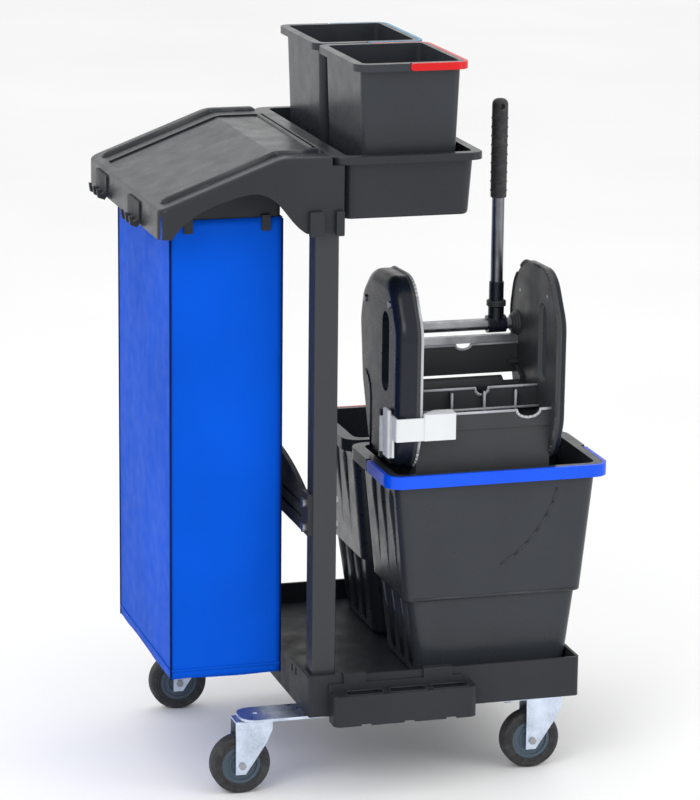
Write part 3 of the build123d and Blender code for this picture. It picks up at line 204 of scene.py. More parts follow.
class NodeSheet:
    """A material's node tree with short ways to add what the finishes share."""

    def __init__(self, name):
        self.material = bpy.data.materials.new(name)
        self.material.use_nodes = True
        self.tree = self.material.node_tree
        self.shader = self.tree.nodes["Principled BSDF"]
        self.place = self.add("ShaderNodeTexCoord").outputs["Object"]

    def add(self, kind, **settings):
        node = self.tree.nodes.new(kind)
        for key, value in settings.items():
            setattr(node, key, value)
        return node

    def link(self, source, target):
        self.tree.links.new(source, target)

    def stretched(self, scale):
        """The object's own coordinates, scaled along each axis."""
        mapping = self.add("ShaderNodeMapping")
        mapping.inputs["Scale"].default_value = scale
        self.link(self.place, mapping.inputs["Vector"])
        return mapping.outputs["Vector"]

    def noise(self, scale, detail=3.0, stretch=None, roughness=0.5):
        """Noise of the given scale, from 0 to 1."""
        node = self.add("ShaderNodeTexNoise")
        node.inputs["Scale"].default_value = scale
        node.inputs["Detail"].default_value = detail
        node.inputs["Roughness"].default_value = roughness
        self.link(self.stretched(stretch) if stretch else self.place, node.inputs["Vector"])
        return node.outputs["Fac"]

    def ranged(self, source, low, high, to_low, to_high):
        """The source, taken from low..high to to_low..to_high."""
        node = self.add("ShaderNodeMapRange")
        for name, value in (("From Min", low), ("From Max", high), ("To Min", to_low), ("To Max", to_high)):
            node.inputs[name].default_value = value
        self.link(source, node.inputs["Value"])
        return node.outputs["Result"]

    def mixed(self, amount, first, second):
        """Two colours, or a colour output and a colour, mixed by amount."""
        node = self.add("ShaderNodeMix", data_type="RGBA")
        self.link(amount, node.inputs["Factor"])
        for socket, value in ((node.inputs[6], first), (node.inputs[7], second)):
            if isinstance(value, bpy.types.NodeSocket):
                self.link(value, socket)
            else:
                socket.default_value = (*value, 1)
        return node.outputs[2]

    def bump(self, height, distance, strength=1.0, under=None):
        """Bump of the given height in metres, on top of another bump if there is one."""
        node = self.add("ShaderNodeBump")
        node.inputs["Distance"].default_value = distance
        node.inputs["Strength"].default_value = strength
        self.link(height, node.inputs["Height"])
        if under:
            self.link(under, node.inputs["Normal"])
        return node.outputs["Normal"]

    def finish(self, colour, roughness, normal):
        self.link(colour, self.shader.inputs["Base Color"])
        self.link(roughness, self.shader.inputs["Roughness"])
        self.link(normal, self.shader.inputs["Normal"])
        return self.material


def shade(colour, factor):
    """The colour made lighter or darker."""
    return tuple(min(1.0, channel * factor) for channel in colour)


def moulded_plastic(name, colour, roughness, grain, depth, coat=0.0):
    """Injection-moulded plastic: grain, faint flow marks and handling scuffs."""
    sheet = NodeSheet(name)
    flow = sheet.noise(5.0, 4.0, stretch=(1.0, 1.0, 0.35))
    base = sheet.mixed(sheet.ranged(flow, 0.3, 0.7, 0.0, 1.0), shade(colour, 0.86), shade(colour, 1.14))
    scuffs = sheet.noise(46.0, 6.0, stretch=(1.0, 0.7, 2.6), roughness=0.72)
    worn = sheet.ranged(scuffs, 0.62, 0.82, 0.0, 0.09)
    pale = tuple(channel * 0.5 + 0.10 for channel in colour)
    colour_out = sheet.mixed(worn, base, pale)
    rough = sheet.ranged(sheet.noise(28.0, 5.0), 0.3, 0.7, roughness * 0.82, min(1.0, roughness * 1.2))
    waves = sheet.bump(sheet.noise(14.0, 2.0), 0.0002, 0.2)
    fine = sheet.bump(sheet.noise(grain, 2.0), depth, 0.5, under=waves)
    sheet.shader.inputs["Specular IOR Level"].default_value = 0.26
    sheet.shader.inputs["Coat Weight"].default_value = coat
    sheet.shader.inputs["Coat Roughness"].default_value = 0.12
    return sheet.finish(colour_out, rough, fine)


def plated_metal(name, colour, roughness, brush, spangle=0.0):
    """Plated steel with fine drawing lines, cloudy plating and small crystals."""
    sheet = NodeSheet(name)
    clouds = sheet.noise(34.0, 5.0)
    base = sheet.mixed(sheet.ranged(clouds, 0.3, 0.7, 0.0, 1.0), shade(colour, 0.72), shade(colour, 1.2))
    crystals = sheet.add("ShaderNodeTexVoronoi")
    crystals.inputs["Scale"].default_value = 210.0
    sheet.link(sheet.place, crystals.inputs["Vector"])
    flecks = sheet.ranged(crystals.outputs["Distance"], 0.0, 0.7, 0.0, spangle)
    colour_out = sheet.mixed(flecks, base, shade(colour, 1.35))
    lines = sheet.noise(90.0, 3.0, stretch=brush)
    rough = sheet.ranged(lines, 0.3, 0.7, roughness * 0.75, roughness * 1.3)
    normal = sheet.bump(lines, 0.00012, 0.6)
    sheet.shader.inputs["Metallic"].default_value = 1.0
    return sheet.finish(colour_out, rough, normal)


def powder_coat(name, colour):
    """Powder-coated tube with a fine orange peel."""
    sheet = NodeSheet(name)
    drift = sheet.noise(7.0, 3.0, stretch=(1.0, 1.0, 0.3))
    base = sheet.mixed(sheet.ranged(drift, 0.3, 0.7, 0.0, 1.0), shade(colour, 0.9), shade(colour, 1.15))
    rough = sheet.ranged(sheet.noise(60.0, 4.0), 0.3, 0.7, 0.36, 0.5)
    normal = sheet.bump(sheet.noise(620.0, 2.0), 0.0002, 0.5)
    return sheet.finish(base, rough, normal)


def tyre_rubber(name, colour):
    """Matt rubber with fine pitting and pale dust worn into it."""
    sheet = NodeSheet(name)
    dust = sheet.ranged(sheet.noise(70.0, 6.0, roughness=0.7), 0.48, 0.75, 0.0, 0.35)
    base = sheet.mixed(dust, colour, tuple(channel * 0.6 + 0.11 for channel in colour))
    rough = sheet.ranged(sheet.noise(120.0, 3.0), 0.3, 0.7, 0.55, 0.8)
    normal = sheet.bump(sheet.noise(900.0, 3.0), 0.0003, 0.6)
    return sheet.finish(base, rough, normal)


def coated_cloth(name, colour, thread=0.0016):
    """Coated woven cloth: threads both ways, with soft sheen and uneven dye."""
    sheet = NodeSheet(name)
    split = sheet.add("ShaderNodeSeparateXYZ")
    sheet.link(sheet.place, split.inputs["Vector"])
    around = sheet.add("ShaderNodeMath", operation="ADD")
    sheet.link(split.outputs["X"], around.inputs[0])
    sheet.link(split.outputs["Y"], around.inputs[1])
    rows = []
    for source in (around.outputs["Value"], split.outputs["Z"]):
        turns = sheet.add("ShaderNodeMath", operation="MULTIPLY")
        turns.inputs[1].default_value = math.tau / thread
        sheet.link(source, turns.inputs[0])
        wave = sheet.add("ShaderNodeMath", operation="SINE")
        sheet.link(turns.outputs["Value"], wave.inputs[0])
        rows.append(wave.outputs["Value"])
    weave = sheet.add("ShaderNodeMath", operation="MULTIPLY")
    sheet.link(rows[0], weave.inputs[0])
    sheet.link(rows[1], weave.inputs[1])
    threads = sheet.ranged(weave.outputs["Value"], -1.0, 1.0, 0.0, 1.0)
    dye = sheet.noise(3.2, 5.0)
    base = sheet.mixed(sheet.ranged(dye, 0.3, 0.7, 0.0, 1.0), shade(colour, 0.86), shade(colour, 1.12))
    colour_out = sheet.mixed(sheet.ranged(threads, 0.0, 1.0, 0.0, 0.25), base, shade(colour, 0.7))
    rough = sheet.ranged(sheet.noise(40.0, 4.0), 0.3, 0.7, 0.46, 0.62)
    folds = sheet.bump(sheet.noise(9.0, 4.0, stretch=(1.0, 1.0, 0.5)), 0.004, 0.5)
    normal = sheet.bump(threads, 0.00025, 0.5, under=folds)
    sheet.shader.inputs["Sheen Weight"].default_value = 0.01
    sheet.shader.inputs["Specular IOR Level"].default_value = 0.05
    sheet.shader.inputs["Sheen Roughness"].default_value = 0.4
    return sheet.finish(colour_out, rough, normal)


def make_finishes():
    """Every finish of the cart, by a plain name."""
    c = colours()
    return {
        "charcoal": moulded_plastic("grained_charcoal", c.charcoal, 0.52, 900.0, 0.00025),
        "gloss": moulded_plastic("gloss_charcoal", c.gloss, 0.30, 1300.0, 0.0001, coat=0.06),
        "bucket": moulded_plastic("bucket_grey", c.bucket, 0.30, 1300.0, 0.00008, coat=0.06),
        "navy": moulded_plastic("navy_cover", c.navy, 0.28, 1200.0, 0.0001, coat=0.06),
        "wringer": moulded_plastic("wringer_grey", c.wringer, 0.42, 900.0, 0.0002),
        "latch": moulded_plastic("pale_latch", c.latch, 0.40, 1000.0, 0.00012),
        "blue": moulded_plastic("blue_bail", c.blue, 0.30, 1200.0, 0.00008, coat=0.04),
        "red": moulded_plastic("red_bail", c.red, 0.30, 1200.0, 0.00008, coat=0.04),
        "teal": moulded_plastic("teal_bail", c.teal, 0.30, 1200.0, 0.00008, coat=0.04),
        "wheel": moulded_plastic("wheel_centre", c.wheel, 0.45, 900.0, 0.00015),
        "zinc": plated_metal("zinc_plate", c.zinc, 0.34, (1.0, 1.0, 0.12), 0.35),
        "steel": plated_metal("bolt_steel", c.steel, 0.36, (1.0, 1.0, 0.4), 0.1),
        "lever": plated_metal("lever_tube", c.lever, 0.34, (1.0, 1.0, 0.05), 0.0),
        "post": powder_coat("post_coat", c.charcoal),
        # Painted highlight: this pale grey on the wringer's edge beads stands in for their highlights.
        "bead": moulded_plastic("painted_highlight_edge", c.bead, 0.34, 900.0, 0.0001, coat=0.2),
        "rubber": tyre_rubber("tyre_rubber", c.rubber),
        "grip": tyre_rubber("grip_rubber", shade(c.rubber, 1.2)),
        "bag": coated_cloth("bag_cloth", c.bag),
        # Painted shade: dark navy on the corner piping for the shade in the seams.
        "piping": coated_cloth("bag_piping_painted_shade", c.piping, 0.0012),
    }


finishes = {}


# --- Mesh helpers ---------------------------------------------------------------------------------


def finished(name, mesh, finish, body, bevel=0.0, replaces=()):
    """A piece from a bmesh, with its finish, riding on its body."""
    bmesh.ops.remove_doubles(mesh, verts=mesh.verts, dist=1e-6)
    data = bpy.data.meshes.new(name)
    mesh.to_mesh(data)
    mesh.free()
    data.materials.append(finishes[finish])
    piece = bpy.data.objects.new(name, data)
    bpy.context.scene.collection.objects.link(piece)
    for face in data.polygons:
        face.use_smooth = True
    if bevel:
        rounding = piece.modifiers.new("rounding", "BEVEL")
        rounding.width = bevel
        rounding.segments = 3
        rounding.limit_method = "ANGLE"
        rounding.angle_limit = math.radians(35)
        rounding.harden_normals = True
    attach(piece, body)
    if replaces:
        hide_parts(*replaces)
    return piece


# --- Waste bag ------------------------------------------------------------------------------------


def bag_surface(bulge, crease):
    """The bag's cloth: a flat-bottomed box with soft sides, open at the top."""
    low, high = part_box("waste_bag")
    inset = 0.001
    size = high - low
    mesh = bmesh.new()
    bmesh.ops.create_grid(mesh, x_segments=18, y_segments=34, size=0.5)
    bmesh.ops.scale(mesh, verts=mesh.verts, vec=(size.x - 2 * inset, size.y - 2 * inset, 1))
    middle = Vector(((low.x + high.x) / 2, (low.y + high.y) / 2, 0))
    bmesh.ops.translate(mesh, verts=mesh.verts, vec=(middle.x, middle.y, low.z + inset))
    bmesh.ops.reverse_faces(mesh, faces=mesh.faces)
    rows = 64
    step = (size.z - inset) / rows
    edges = [edge for edge in mesh.edges if edge.is_boundary]
    for _ in range(rows):
        made = bmesh.ops.extrude_edge_only(mesh, edges=edges)["geom"]
        corners = [item for item in made if isinstance(item, bmesh.types.BMVert)]
        bmesh.ops.translate(mesh, verts=corners, vec=(0, 0, step))
        edges = [item for item in made if isinstance(item, bmesh.types.BMEdge) and item.is_boundary]
    for vert in mesh.verts:
        across = (vert.co.x - middle.x) / (size.x / 2)
        along = (vert.co.y - middle.y) / (size.y / 2)
        up = (vert.co.z - low.z) / size.z
        free = math.sin(math.pi * min(1.0, up)) ** 0.7
        soft = noise.noise(Vector((vert.co.x * 9, vert.co.y * 9, vert.co.z * 3.5)))
        soft += 0.5 * noise.noise(Vector((vert.co.x * 24, vert.co.y * 24, vert.co.z * 9)))
        if abs(across) > 0.98:
            push = free * (bulge * (1 - along**2) + crease * soft * (1 - along**6))
            vert.co.x += math.copysign(push, across)
        if abs(along) > 0.98:
            push = free * (bulge * (1 - across**2) + crease * soft * (1 - across**6))
            vert.co.y += math.copysign(push, along)
        if up < 0.01:
            vert.co.z += 0.002 * (1 + soft)
    return mesh


def upright_binding(radius):
    """The bound edges that stand at the bag's four corners."""
    low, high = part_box("waste_bag")
    mesh = bmesh.new()
    for x in (low.x, high.x):
        for y in (low.y, high.y):
            inward = Vector((math.copysign(radius * 0.6, (low.x + high.x) / 2 - x),
                             math.copysign(radius * 0.6, (low.y + high.y) / 2 - y), 0))
            place = Matrix.Translation(Vector((x, y, (low.z + high.z) / 2)) + inward)
            bmesh.ops.create_cone(
                mesh,
                segments=12,
                radius1=radius,
                radius2=radius,
                depth=high.z - low.z - 0.006,
                cap_ends=True,
                matrix=place,
            )
    return mesh


def bottom_hem(radius):
    """The hem that runs round the bag just above its bottom."""
    low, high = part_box("waste_bag")
    mesh = bmesh.new()
    bmesh.ops.create_grid(mesh, x_segments=1, y_segments=1, size=0.5)
    size = high - low
    bmesh.ops.scale(mesh, verts=mesh.verts, vec=(size.x, size.y, 1))
    place = ((low.x + high.x) / 2, (low.y + high.y) / 2, low.z + 0.016)
    bmesh.ops.translate(mesh, verts=mesh.verts, vec=place)
    bmesh.ops.bevel(
        mesh, geom=mesh.verts[:], offset=0.006, segments=4, profile=0.5, affect="VERTICES", material=-1
    )
    ring = bmesh.ops.extrude_face_region(mesh, geom=mesh.faces[:])["geom"]
    bmesh.ops.translate(
        mesh, verts=[item for item in ring if isinstance(item, bmesh.types.BMVert)], vec=(0, 0, 0.004)
    )
    caps = [face for face in mesh.faces if abs(face.normal.z) > 0.9]
    bmesh.ops.delete(mesh, geom=caps, context="FACES_ONLY")
    bmesh.ops.recalc_face_normals(mesh, faces=mesh.faces)
    bmesh.ops.scale(
        mesh,
        verts=mesh.verts,
        vec=(1 + 2 * radius / size.x, 1 + 2 * radius / size.y, 1),
        space=Matrix.Translation((-(low.x + high.x) / 2, -(low.y + high.y) / 2, 0)),
    )
    return mesh


class CART_OT_waste_bag(Operator):
    """Sew the blue waste bag"""

    bl_idname = "cart.waste_bag"
    bl_label = "Waste bag"

    def execute(self, context):
        s = sizes()
        bag = finished("bag_cloth", bag_surface(s.bag_bulge, s.bag_crease), "bag", "chassis",
                       replaces=("waste_bag",))
        wall = bag.modifiers.new("cloth thickness", "SOLIDIFY")
        wall.thickness = 0.0012
        wall.offset = -1
        # Corner piping in dark navy as painted shade of the seams.
        binding = finished("bag_piping_painted_shade", upright_binding(s.piping_radius), "piping", "chassis")
        hem = finished("bag_hem", bottom_hem(0.0008), "bag", "chassis")
        band = hem.modifiers.new("hem thickness", "SOLIDIFY")
        band.thickness = 0.0008
        band.offset = -1
        return {"FINISHED"}


# --- Beads, ribs and rings ----------------------------------------------------------------------------


def rod(mesh, start, end, radius, segments=14):
    """A capped round rod between two points."""
    run = Vector(end) - Vector(start)
    turn = run.to_track_quat("Z", "Y").to_matrix().to_4x4()
    bmesh.ops.create_cone(
        mesh,
        segments=segments,
        radius1=radius,
        radius2=radius,
        depth=run.length,
        cap_ends=True,
        matrix=Matrix.Translation((Vector(start) + Vector(end)) / 2) @ turn,
    )


def bead(mesh, points, radius):
    """A round bead through the points, with round ends and knees."""
    for start, end in zip(points, points[1:]):
        rod(mesh, start, end, radius)
    for point in points:
        bmesh.ops.create_uvsphere(
            mesh, u_segments=12, v_segments=8, radius=radius, matrix=Matrix.Translation(point)
        )


def block(mesh, centre, size, rounding):
    """A box with rounded edges."""
    made = bmesh.ops.create_cube(mesh, size=1.0)["verts"]
    bmesh.ops.scale(mesh, verts=made, vec=size)
    bmesh.ops.translate(mesh, verts=made, vec=centre)
    edges = list({edge for vert in made for edge in vert.link_edges})
    bmesh.ops.bevel(
        mesh, geom=edges, offset=rounding, segments=4, profile=0.5, affect="EDGES", material=-1
    )


def ring(mesh, centre, axis, radius, thickness):
    """A round ring about an axis."""
    axis = Vector(axis)
    outward = axis.orthogonal().normalized()
    tilt = outward.cross(axis).to_track_quat("Z", "Y").to_matrix().to_4x4()
    place = Matrix.Translation(Vector(centre) + outward * radius) @ tilt
    section = bmesh.ops.create_circle(mesh, segments=12, radius=thickness, matrix=place)["verts"]
    edges = list({edge for vert in section for edge in vert.link_edges})
    bmesh.ops.spin(
        mesh, geom=section + edges, cent=centre, axis=axis, angle=math.tau, steps=64, use_merge=True
    )


def closed(mesh):
    """The mesh with every face pointing out."""
    bmesh.ops.remove_doubles(mesh, verts=mesh.verts, dist=1e-6)
    bmesh.ops.recalc_face_normals(mesh, faces=mesh.faces)
    return mesh


def dipped_edge(x_low, x_high, y, z, dip_x, dip_half, dip_depth):
    """Points along a straight edge with one round dip in it."""
    dip = [
        (dip_x - dip_half * math.cos(math.pi * i / 8), y, z - dip_depth * math.sin(math.pi * i / 8))
        for i in range(9)
    ]
    return [Vector(point) for point in [(x_low, y, z), *dip, (x_high, y, z)]]


def rounded_outline(corners, radius, steps=8):
    """The closed outline with each corner turned on an arc of the radius."""
    points = []
    count = len(corners)
    for i, corner in enumerate(corners):
        here = Vector(corner)
        back = (Vector(corners[i - 1]) - here).normalized()
        ahead = (Vector(corners[(i + 1) % count]) - here).normalized()
        half = back.angle(ahead) / 2
        tangent = radius / math.tan(half)
        centre = here + (back + ahead).normalized() * radius / math.sin(half)
        start = (here + back * tangent - centre).normalized()
        end = (here + ahead * tangent - centre).normalized()
        for k in range(steps + 1):
            points.append(centre + start.slerp(end, k / steps).normalized() * radius)
    return points


class CART_OT_bucket_mouldings(Operator):
    """Mould the flutes, the sweep and the ledge lip of the mopping buckets"""

    bl_idname = "cart.bucket_mouldings"
    bl_label = "Bucket mouldings"

    def execute(self, context):
        for end, facing in (("front", -1), ("rear", 1)):
            low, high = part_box(f"bucket_{end}")
            middle_x = (low.x + high.x) / 2
            bail_low, bail_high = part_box(f"bail_{end}")
            outer = bail_low.y if facing < 0 else bail_high.y
            middle_y = outer - facing * BUCKET_HALF_WIDTH
            mesh = bmesh.new()
            for across in FLUTES_AT:
                y = middle_y + facing * across
                bead(
                    mesh,
                    [
                        Vector((middle_x - 0.1135, y, 0.192)),
                        Vector((middle_x - 0.1310, y, LEDGE_Z)),
                        Vector((middle_x - 0.1535, y, high.z - 0.045)),
                    ],
                    FLUTE_RADIUS,
                )
            wall = [
                Vector((middle_x + x, middle_y + facing * (0.1015 + 0.018 * (z - LEDGE_Z)), z))
                for x, z in SWEEP
            ]
            bead(mesh, wall, SWEEP_RADIUS)
            bead(
                mesh,
                [
                    Vector((middle_x - 0.138, middle_y + facing * 0.1005, LEDGE_Z + 0.003)),
                    Vector((middle_x + 0.138, middle_y + facing * 0.1005, LEDGE_Z + 0.003)),
                ],
                LEDGE_LIP_RADIUS,
            )
            finished(f"bucket_mouldings_{end}", closed(mesh), "bucket", f"bucket_{end}")
        return {"FINISHED"}


class CART_OT_wringer_edges(Operator):
    """Add the edge beads in a pale grey that paints on their highlight, the shaft boss, the cover's arch and
    the latch tab
    """

    bl_idname = "cart.wringer_edges"
    bl_label = "Wringer edges"

    def execute(self, context):
        radius = sizes().bead_radius
        left_low, left_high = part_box("wringer_frame_left")
        right_low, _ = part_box("wringer_frame_right")
        inside_left = left_high.x
        inside_right = right_low.x
        basket_low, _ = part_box("wringer_basket")
        mesh = bmesh.new()
        # The lip, press wall, ribs and shelf beads are pale grey as painted highlight.
        bead(mesh, dipped_edge(inside_left, inside_right, basket_low.y, LIP_TOP, *LIP_DIP), radius)
        wall_y = MID_Y + PRESS_WALL_Y
        bead(mesh, dipped_edge(inside_left, inside_right, wall_y, PRESS_WALL_TOP, *PRESS_WALL_DIP), radius)
        rib_y = wall_y - RIB_REACH
        for x in RIBS_AT:
            bead(mesh, [Vector((x, rib_y, RIB_LOW)), Vector((x, rib_y, RIB_HIGH))], radius)
        shelf = [Vector((inside_left, rib_y, PRESS_SHELF)), Vector((inside_right, rib_y, PRESS_SHELF))]
        bead(mesh, shelf, radius)
        finished("wringer_basket_beads", closed(mesh), "bead", "wringer")

        outline = [Vector((y / 1000, z / 1000)) for y, z in FRAME_OUTLINE]
        turned = rounded_outline(outline, FRAME_ROUND)
        # The left frame's edge bead is pale grey as painted highlight; the right one keeps the frame's grey.
        for side, x, finish in (("left", inside_left, "bead"), ("right", inside_right, "wringer")):
            mesh = bmesh.new()
            path = [Vector((x, MID_Y + point.x, point.y)) for point in turned]
            bead(mesh, [point for point in path if point.z > FRAME_EDGE_LOW], radius)
            finished(f"wringer_edge_{side}", closed(mesh), finish, "wringer")

        mesh = bmesh.new()
        for step, size in BOSS_STEPS:
            centre = (inside_right - step, MID_Y + SHAFT_Y, SHAFT_Z)
            ring(mesh, centre, (1, 0, 0), size - BOSS_ROUND, BOSS_ROUND)
        finished("shaft_boss", closed(mesh), "wringer", "wringer")

        face = left_low.x - COVER_DEPTH
        mesh = bmesh.new()
        arch = [Vector((face, MID_Y + y / 1000, z / 1000)) for y, z in ARCH]
        bead(mesh, arch, ARCH_RADIUS)
        finished("cover_arch", closed(mesh), "navy", "wringer")

        latch_low, latch_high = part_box("wringer_latch")
        mesh = bmesh.new()
        tab = (latch_low.x + 0.004, MID_Y + TAB_Y, (latch_low.z + latch_high.z) / 2)
        block(mesh, tab, (TAB_SHEET, TAB_WIDTH, latch_high.z - latch_low.z + 0.006), TAB_ROUND)
        finished("latch_tab", closed(mesh), "latch", "latch")

        _, jaw_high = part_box("press_jaw")
        mesh = bmesh.new()
        ends = (inside_left + 0.001, inside_right - 0.001)
        lip = dipped_edge(*ends, MID_Y + JAW_Y, jaw_high.z, *JAW_DIP)
        bead(mesh, lip, radius)
        # The jaw's lip bead is pale grey as painted highlight.
        finished("jaw_bead", closed(mesh), "bead", "jaw")

        collar_low, collar_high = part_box("lever_collar")
        centre = (collar_low + collar_high) / 2
        mesh = bmesh.new()
        around = (collar_high.x - collar_low.x) / 2 - 0.0008
        for z in BAND_HEIGHTS:
            ring(mesh, (centre.x, centre.y, z), (0, 0, 1), around, 0.0020)
        finished("collar_band", closed(mesh), "wringer", "lever")
        return {"FINISHED"}


class CART_OT_grip_rings(Operator):
    """Mould the raised rings round the lever's grip"""

    bl_idname = "cart.grip_rings"
    bl_label = "Grip rings"

    def execute(self, context):
        low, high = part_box("lever_grip")
        centre = (low + high) / 2
        count = sizes().grip_ribs
        mesh = bmesh.new()
        for i in range(count):
            z = low.z + 0.012 + (high.z - low.z - 0.045) * i / max(1, count - 1)
            ring(mesh, (centre.x, centre.y, z), (0, 0, 1), (high.x - low.x) / 2 - 0.0006, 0.0016)
        finished("grip_rings", closed(mesh), "grip", "lever")
        return {"FINISHED"}


class CART_OT_wheel_rings(Operator):
    """Add the shoulder rings of each tyre and the rings of its centre"""

    bl_idname = "cart.wheel_rings"
    bl_label = "Wheel rings"

    def execute(self, context):
        for corner in CORNERS:
            low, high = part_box(f"tyre_{corner}")
            centre = (low + high) / 2
            radius = (high.z - low.z) / 2
            half = (high.y - low.y) / 2
            tyre = bmesh.new()
            disc = bmesh.new()
            for facing in (-1, 1):
                for inset in (0.0045, 0.0095):
                    ring(tyre, (centre.x, centre.y + facing * (half - 0.0006), centre.z), (0, 1, 0),
                         radius - inset - 0.004, 0.0014)
                for size in (0.028, 0.019):
                    ring(disc, (centre.x, centre.y + facing * 0.0118, centre.z), (0, 1, 0), size, 0.0014)
            finished(f"tyre_rings_{corner}", closed(tyre), "rubber", f"wheel_{corner}")
            finished(f"disc_rings_{corner}", closed(disc), "wheel", f"wheel_{corner}")
        return {"FINISHED"}


class CART_OT_shroud_rails(Operator):
    """Mould the two raised rails on either side of the lid"""

    bl_idname = "cart.shroud_rails"
    bl_label = "Shroud rails"

    def execute(self, context):
        mesh = bmesh.new()
        for side in (-1, 1):
            y = MID_Y + side * RAIL_HALF
            bead(mesh, [Vector((x, y, z - RAIL_RADIUS + RAIL_RISE)) for x, z in RAIL_LINE], RAIL_RADIUS)
        finished("shroud_rails", closed(mesh), "gloss", "chassis")
        return {"FINISHED"}


class CART_OT_cup_rims(Operator):
    """Add the rounded rims of the three handle cups"""

    bl_idname = "cart.cup_rims"
    bl_label = "Cup rims"

    def execute(self, context):
        mesh = bmesh.new()
        front = MID_Y + CUP_FRONT
        rear = MID_Y + CUP_REAR
        for x in CUPS_AT:
            left = x - CUP_HALF
            right = x + CUP_HALF
            corners = [
                Vector(point)
                for point in ((left, front), (right, front), (right, rear), (left, rear))
            ]
            turned = rounded_outline(corners, CUP_CORNER, 4)
            path = [Vector((point.x, point.y, CUP_TOP)) for point in turned]
            bead(mesh, [*path, path[0]], CUP_RIM_RADIUS)
        finished("cup_rims", closed(mesh), "charcoal", "chassis")
        return {"FINISHED"}


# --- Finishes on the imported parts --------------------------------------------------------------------


class CART_OT_part_finishes(Operator):
    """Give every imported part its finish"""

    bl_idname = "cart.part_finishes"
    bl_label = "Part finishes"

    def execute(self, context):
        plain = {
            "charcoal": ["base_tray", "crossbar", "clamp_plates", "handle_rest", "bag_frame", "bag_hooks",
                         "end_hooks"],
            "gloss": ["shroud", "lid", "top_tray"],
            "bucket": ["bucket_front", "bucket_rear", "small_bucket_front", "small_bucket_rear"],
            "navy": ["wringer_cover_left", "wringer_cover_right", "lever_socket", "lever_collar"],
            "wringer": ["wringer_basket", "wringer_frame_left", "wringer_frame_right", "press_jaw"],
            "latch": ["wringer_latch"],
            "blue": ["bail_front"],
            "red": ["bail_rear", "small_bail_front"],
            "teal": ["small_bail_rear"],
            "steel": ["arm_bolts", "crossbar_bolts", "tray_bolts", "wringer_screws", "lid_hinge_pin",
                      "wringer_brace", "wringer_shaft"],
            "lever": ["lever_tube"],
            "grip": ["lever_grip"],
            "post": ["front_post", "rear_post"],
            "zinc": ["king_pins"],
        }
        for corner in CORNERS:
            plain["zinc"] += [f"caster_arm_{corner}", f"caster_fork_{corner}"]
            plain["steel"].append(f"axle_{corner}")
        for finish, names in plain.items():
            for name in names:
                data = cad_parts[name].data
                data.materials.clear()
                data.materials.append(finishes[finish])
        for corner in CORNERS:
            for node, finish in ((f"wheel_hub_{corner}", "wheel"), (f"tyre_{corner}", "rubber")):
                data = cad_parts[node].data
                data.materials.clear()
                data.materials.append(finishes[finish])
        return {"FINISHED"}


# --- Stage -------------------------------------------------------------------------------------------


def soft_box(name, place, target, size, power):
    """A large area light that faces the target."""
    lamp = bpy.data.lights.new(name, "AREA")
    lamp.shape = "RECTANGLE"
    lamp.size, lamp.size_y = size
    lamp.energy = power
    holder = bpy.data.objects.new(name, lamp)
    holder.location = place
    holder.rotation_euler = (Vector(target) - Vector(place)).to_track_quat("-Z", "Y").to_euler()
    bpy.context.scene.collection.objects.link(holder)


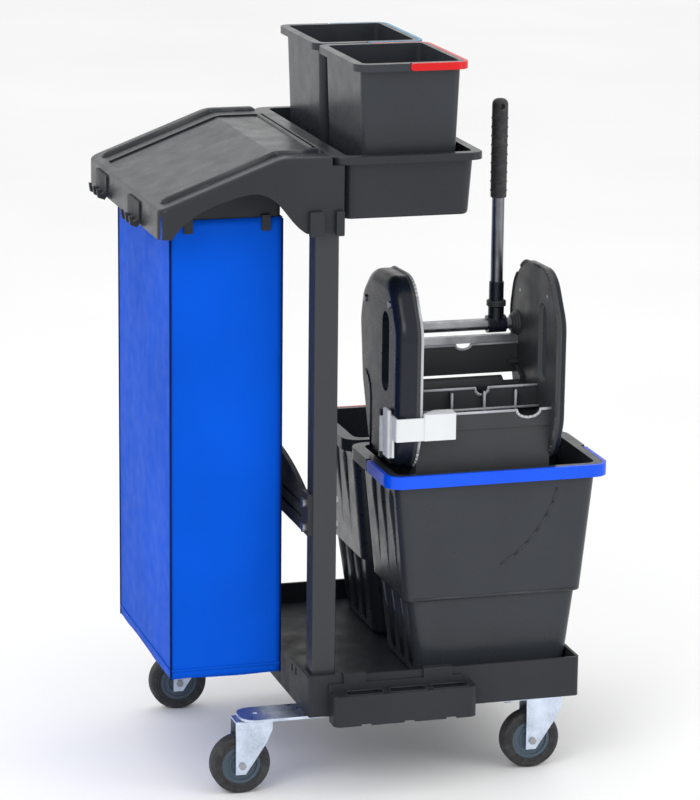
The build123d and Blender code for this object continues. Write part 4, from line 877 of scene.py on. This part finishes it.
class CART_OT_stage(Operator):
    """Set the floor, the studio light and the camera"""

    bl_idname = "cart.stage"
    bl_label = "Stage"

    def execute(self, context):
        scene = context.scene
        mesh = bmesh.new()
        bmesh.ops.create_grid(mesh, x_segments=1, y_segments=1, size=30.0)
        data = bpy.data.meshes.new("floor")
        mesh.to_mesh(data)
        mesh.free()
        sheet = NodeSheet("pale_floor")
        tone = sheet.ranged(sheet.noise(0.8, 2.0), 0.3, 0.7, 0.0, 1.0)
        paper = sheet.mixed(tone, (0.90, 0.90, 0.90), (0.94, 0.94, 0.94))
        rough = sheet.ranged(sheet.noise(3.0, 2.0), 0.3, 0.7, 0.6, 0.75)
        data.materials.append(sheet.finish(paper, rough, sheet.bump(sheet.noise(300.0, 2.0), 0.0002, 0.1)))
        floor = bpy.data.objects.new("floor", data)
        scene.collection.objects.link(floor)

        world = bpy.data.worlds.new("studio")
        world.use_nodes = True
        world.node_tree.nodes["Background"].inputs["Color"].default_value = (1.0, 1.0, 1.0, 1)
        world.node_tree.nodes["Background"].inputs["Strength"].default_value = 1.0
        scene.world = world
        scene.view_settings.view_transform = "Standard"

        low, high = cad_bounds
        centre = (Vector(low) + Vector(high)) / 2
        soft_box("key", (-2.6, -2.6, 3.0), centre, (2.2, 2.2), 48)
        soft_box("fill", (2.8, -2.4, 1.6), centre, (1.6, 2.6), 22)
        soft_box("top", (0.2, 0.4, 3.6), centre, (2.4, 2.4), 14)

        camera = bpy.data.cameras.new("camera")
        camera.lens = 157.4
        camera.shift_x = 0.006
        camera.shift_y = 0.006
        camera.clip_end = 100
        holder = bpy.data.objects.new("camera", camera)
        place = Vector((-1.5958, -5.4971, 2.0157))
        target = Vector((0.0080, 0.0170, 0.59035))
        roll = math.radians(0.59)
        turn = (target - place).to_track_quat("-Z", "Y").to_matrix().to_4x4()
        holder.matrix_world = Matrix.Translation(place) @ turn @ Matrix.Rotation(roll, 4, "Z")
        scene.collection.objects.link(holder)
        scene.camera = holder
        return {"FINISHED"}


# --- Panel and registration ----------------------------------------------------------------------------

OPERATORS = (
    CART_OT_part_finishes,
    CART_OT_waste_bag,
    CART_OT_bucket_mouldings,
    CART_OT_wringer_edges,
    CART_OT_grip_rings,
    CART_OT_wheel_rings,
    CART_OT_shroud_rails,
    CART_OT_cup_rims,
    CART_OT_stage,
)


class CART_PT_panel(Panel):
    """Settings and steps of the housekeeping cart"""

    bl_idname = "CART_PT_panel"
    bl_label = "Housekeeping cart"
    bl_space_type = "VIEW_3D"
    bl_region_type = "UI"
    bl_category = "Cart"

    def draw(self, context):
        for group in (context.scene.cart_colours, context.scene.cart_sizes):
            box = self.layout.box()
            for name in group.__annotations__:
                box.prop(group, name)
        for step in OPERATORS:
            self.layout.operator(step.bl_idname)


CLASSES = (CartColours, CartSizes, *OPERATORS, CART_PT_panel)


def register():
    for item in CLASSES:
        bpy.utils.register_class(item)
    bpy.types.Scene.cart_colours = PointerProperty(type=CartColours)
    bpy.types.Scene.cart_sizes = PointerProperty(type=CartSizes)


def unregister():
    del bpy.types.Scene.cart_sizes
    del bpy.types.Scene.cart_colours
    for item in reversed(CLASSES):
        bpy.utils.unregister_class(item)


def main():
    """Build every visible piece."""
    register()
    finishes.update(make_finishes())
    bpy.ops.cart.part_finishes()
    bpy.ops.cart.waste_bag()
    bpy.ops.cart.bucket_mouldings()
    bpy.ops.cart.wringer_edges()
    bpy.ops.cart.grip_rings()
    bpy.ops.cart.wheel_rings()
    bpy.ops.cart.shroud_rails()
    bpy.ops.cart.cup_rims()
    bpy.ops.cart.stage()


if __name__ == "__main__":
    main()
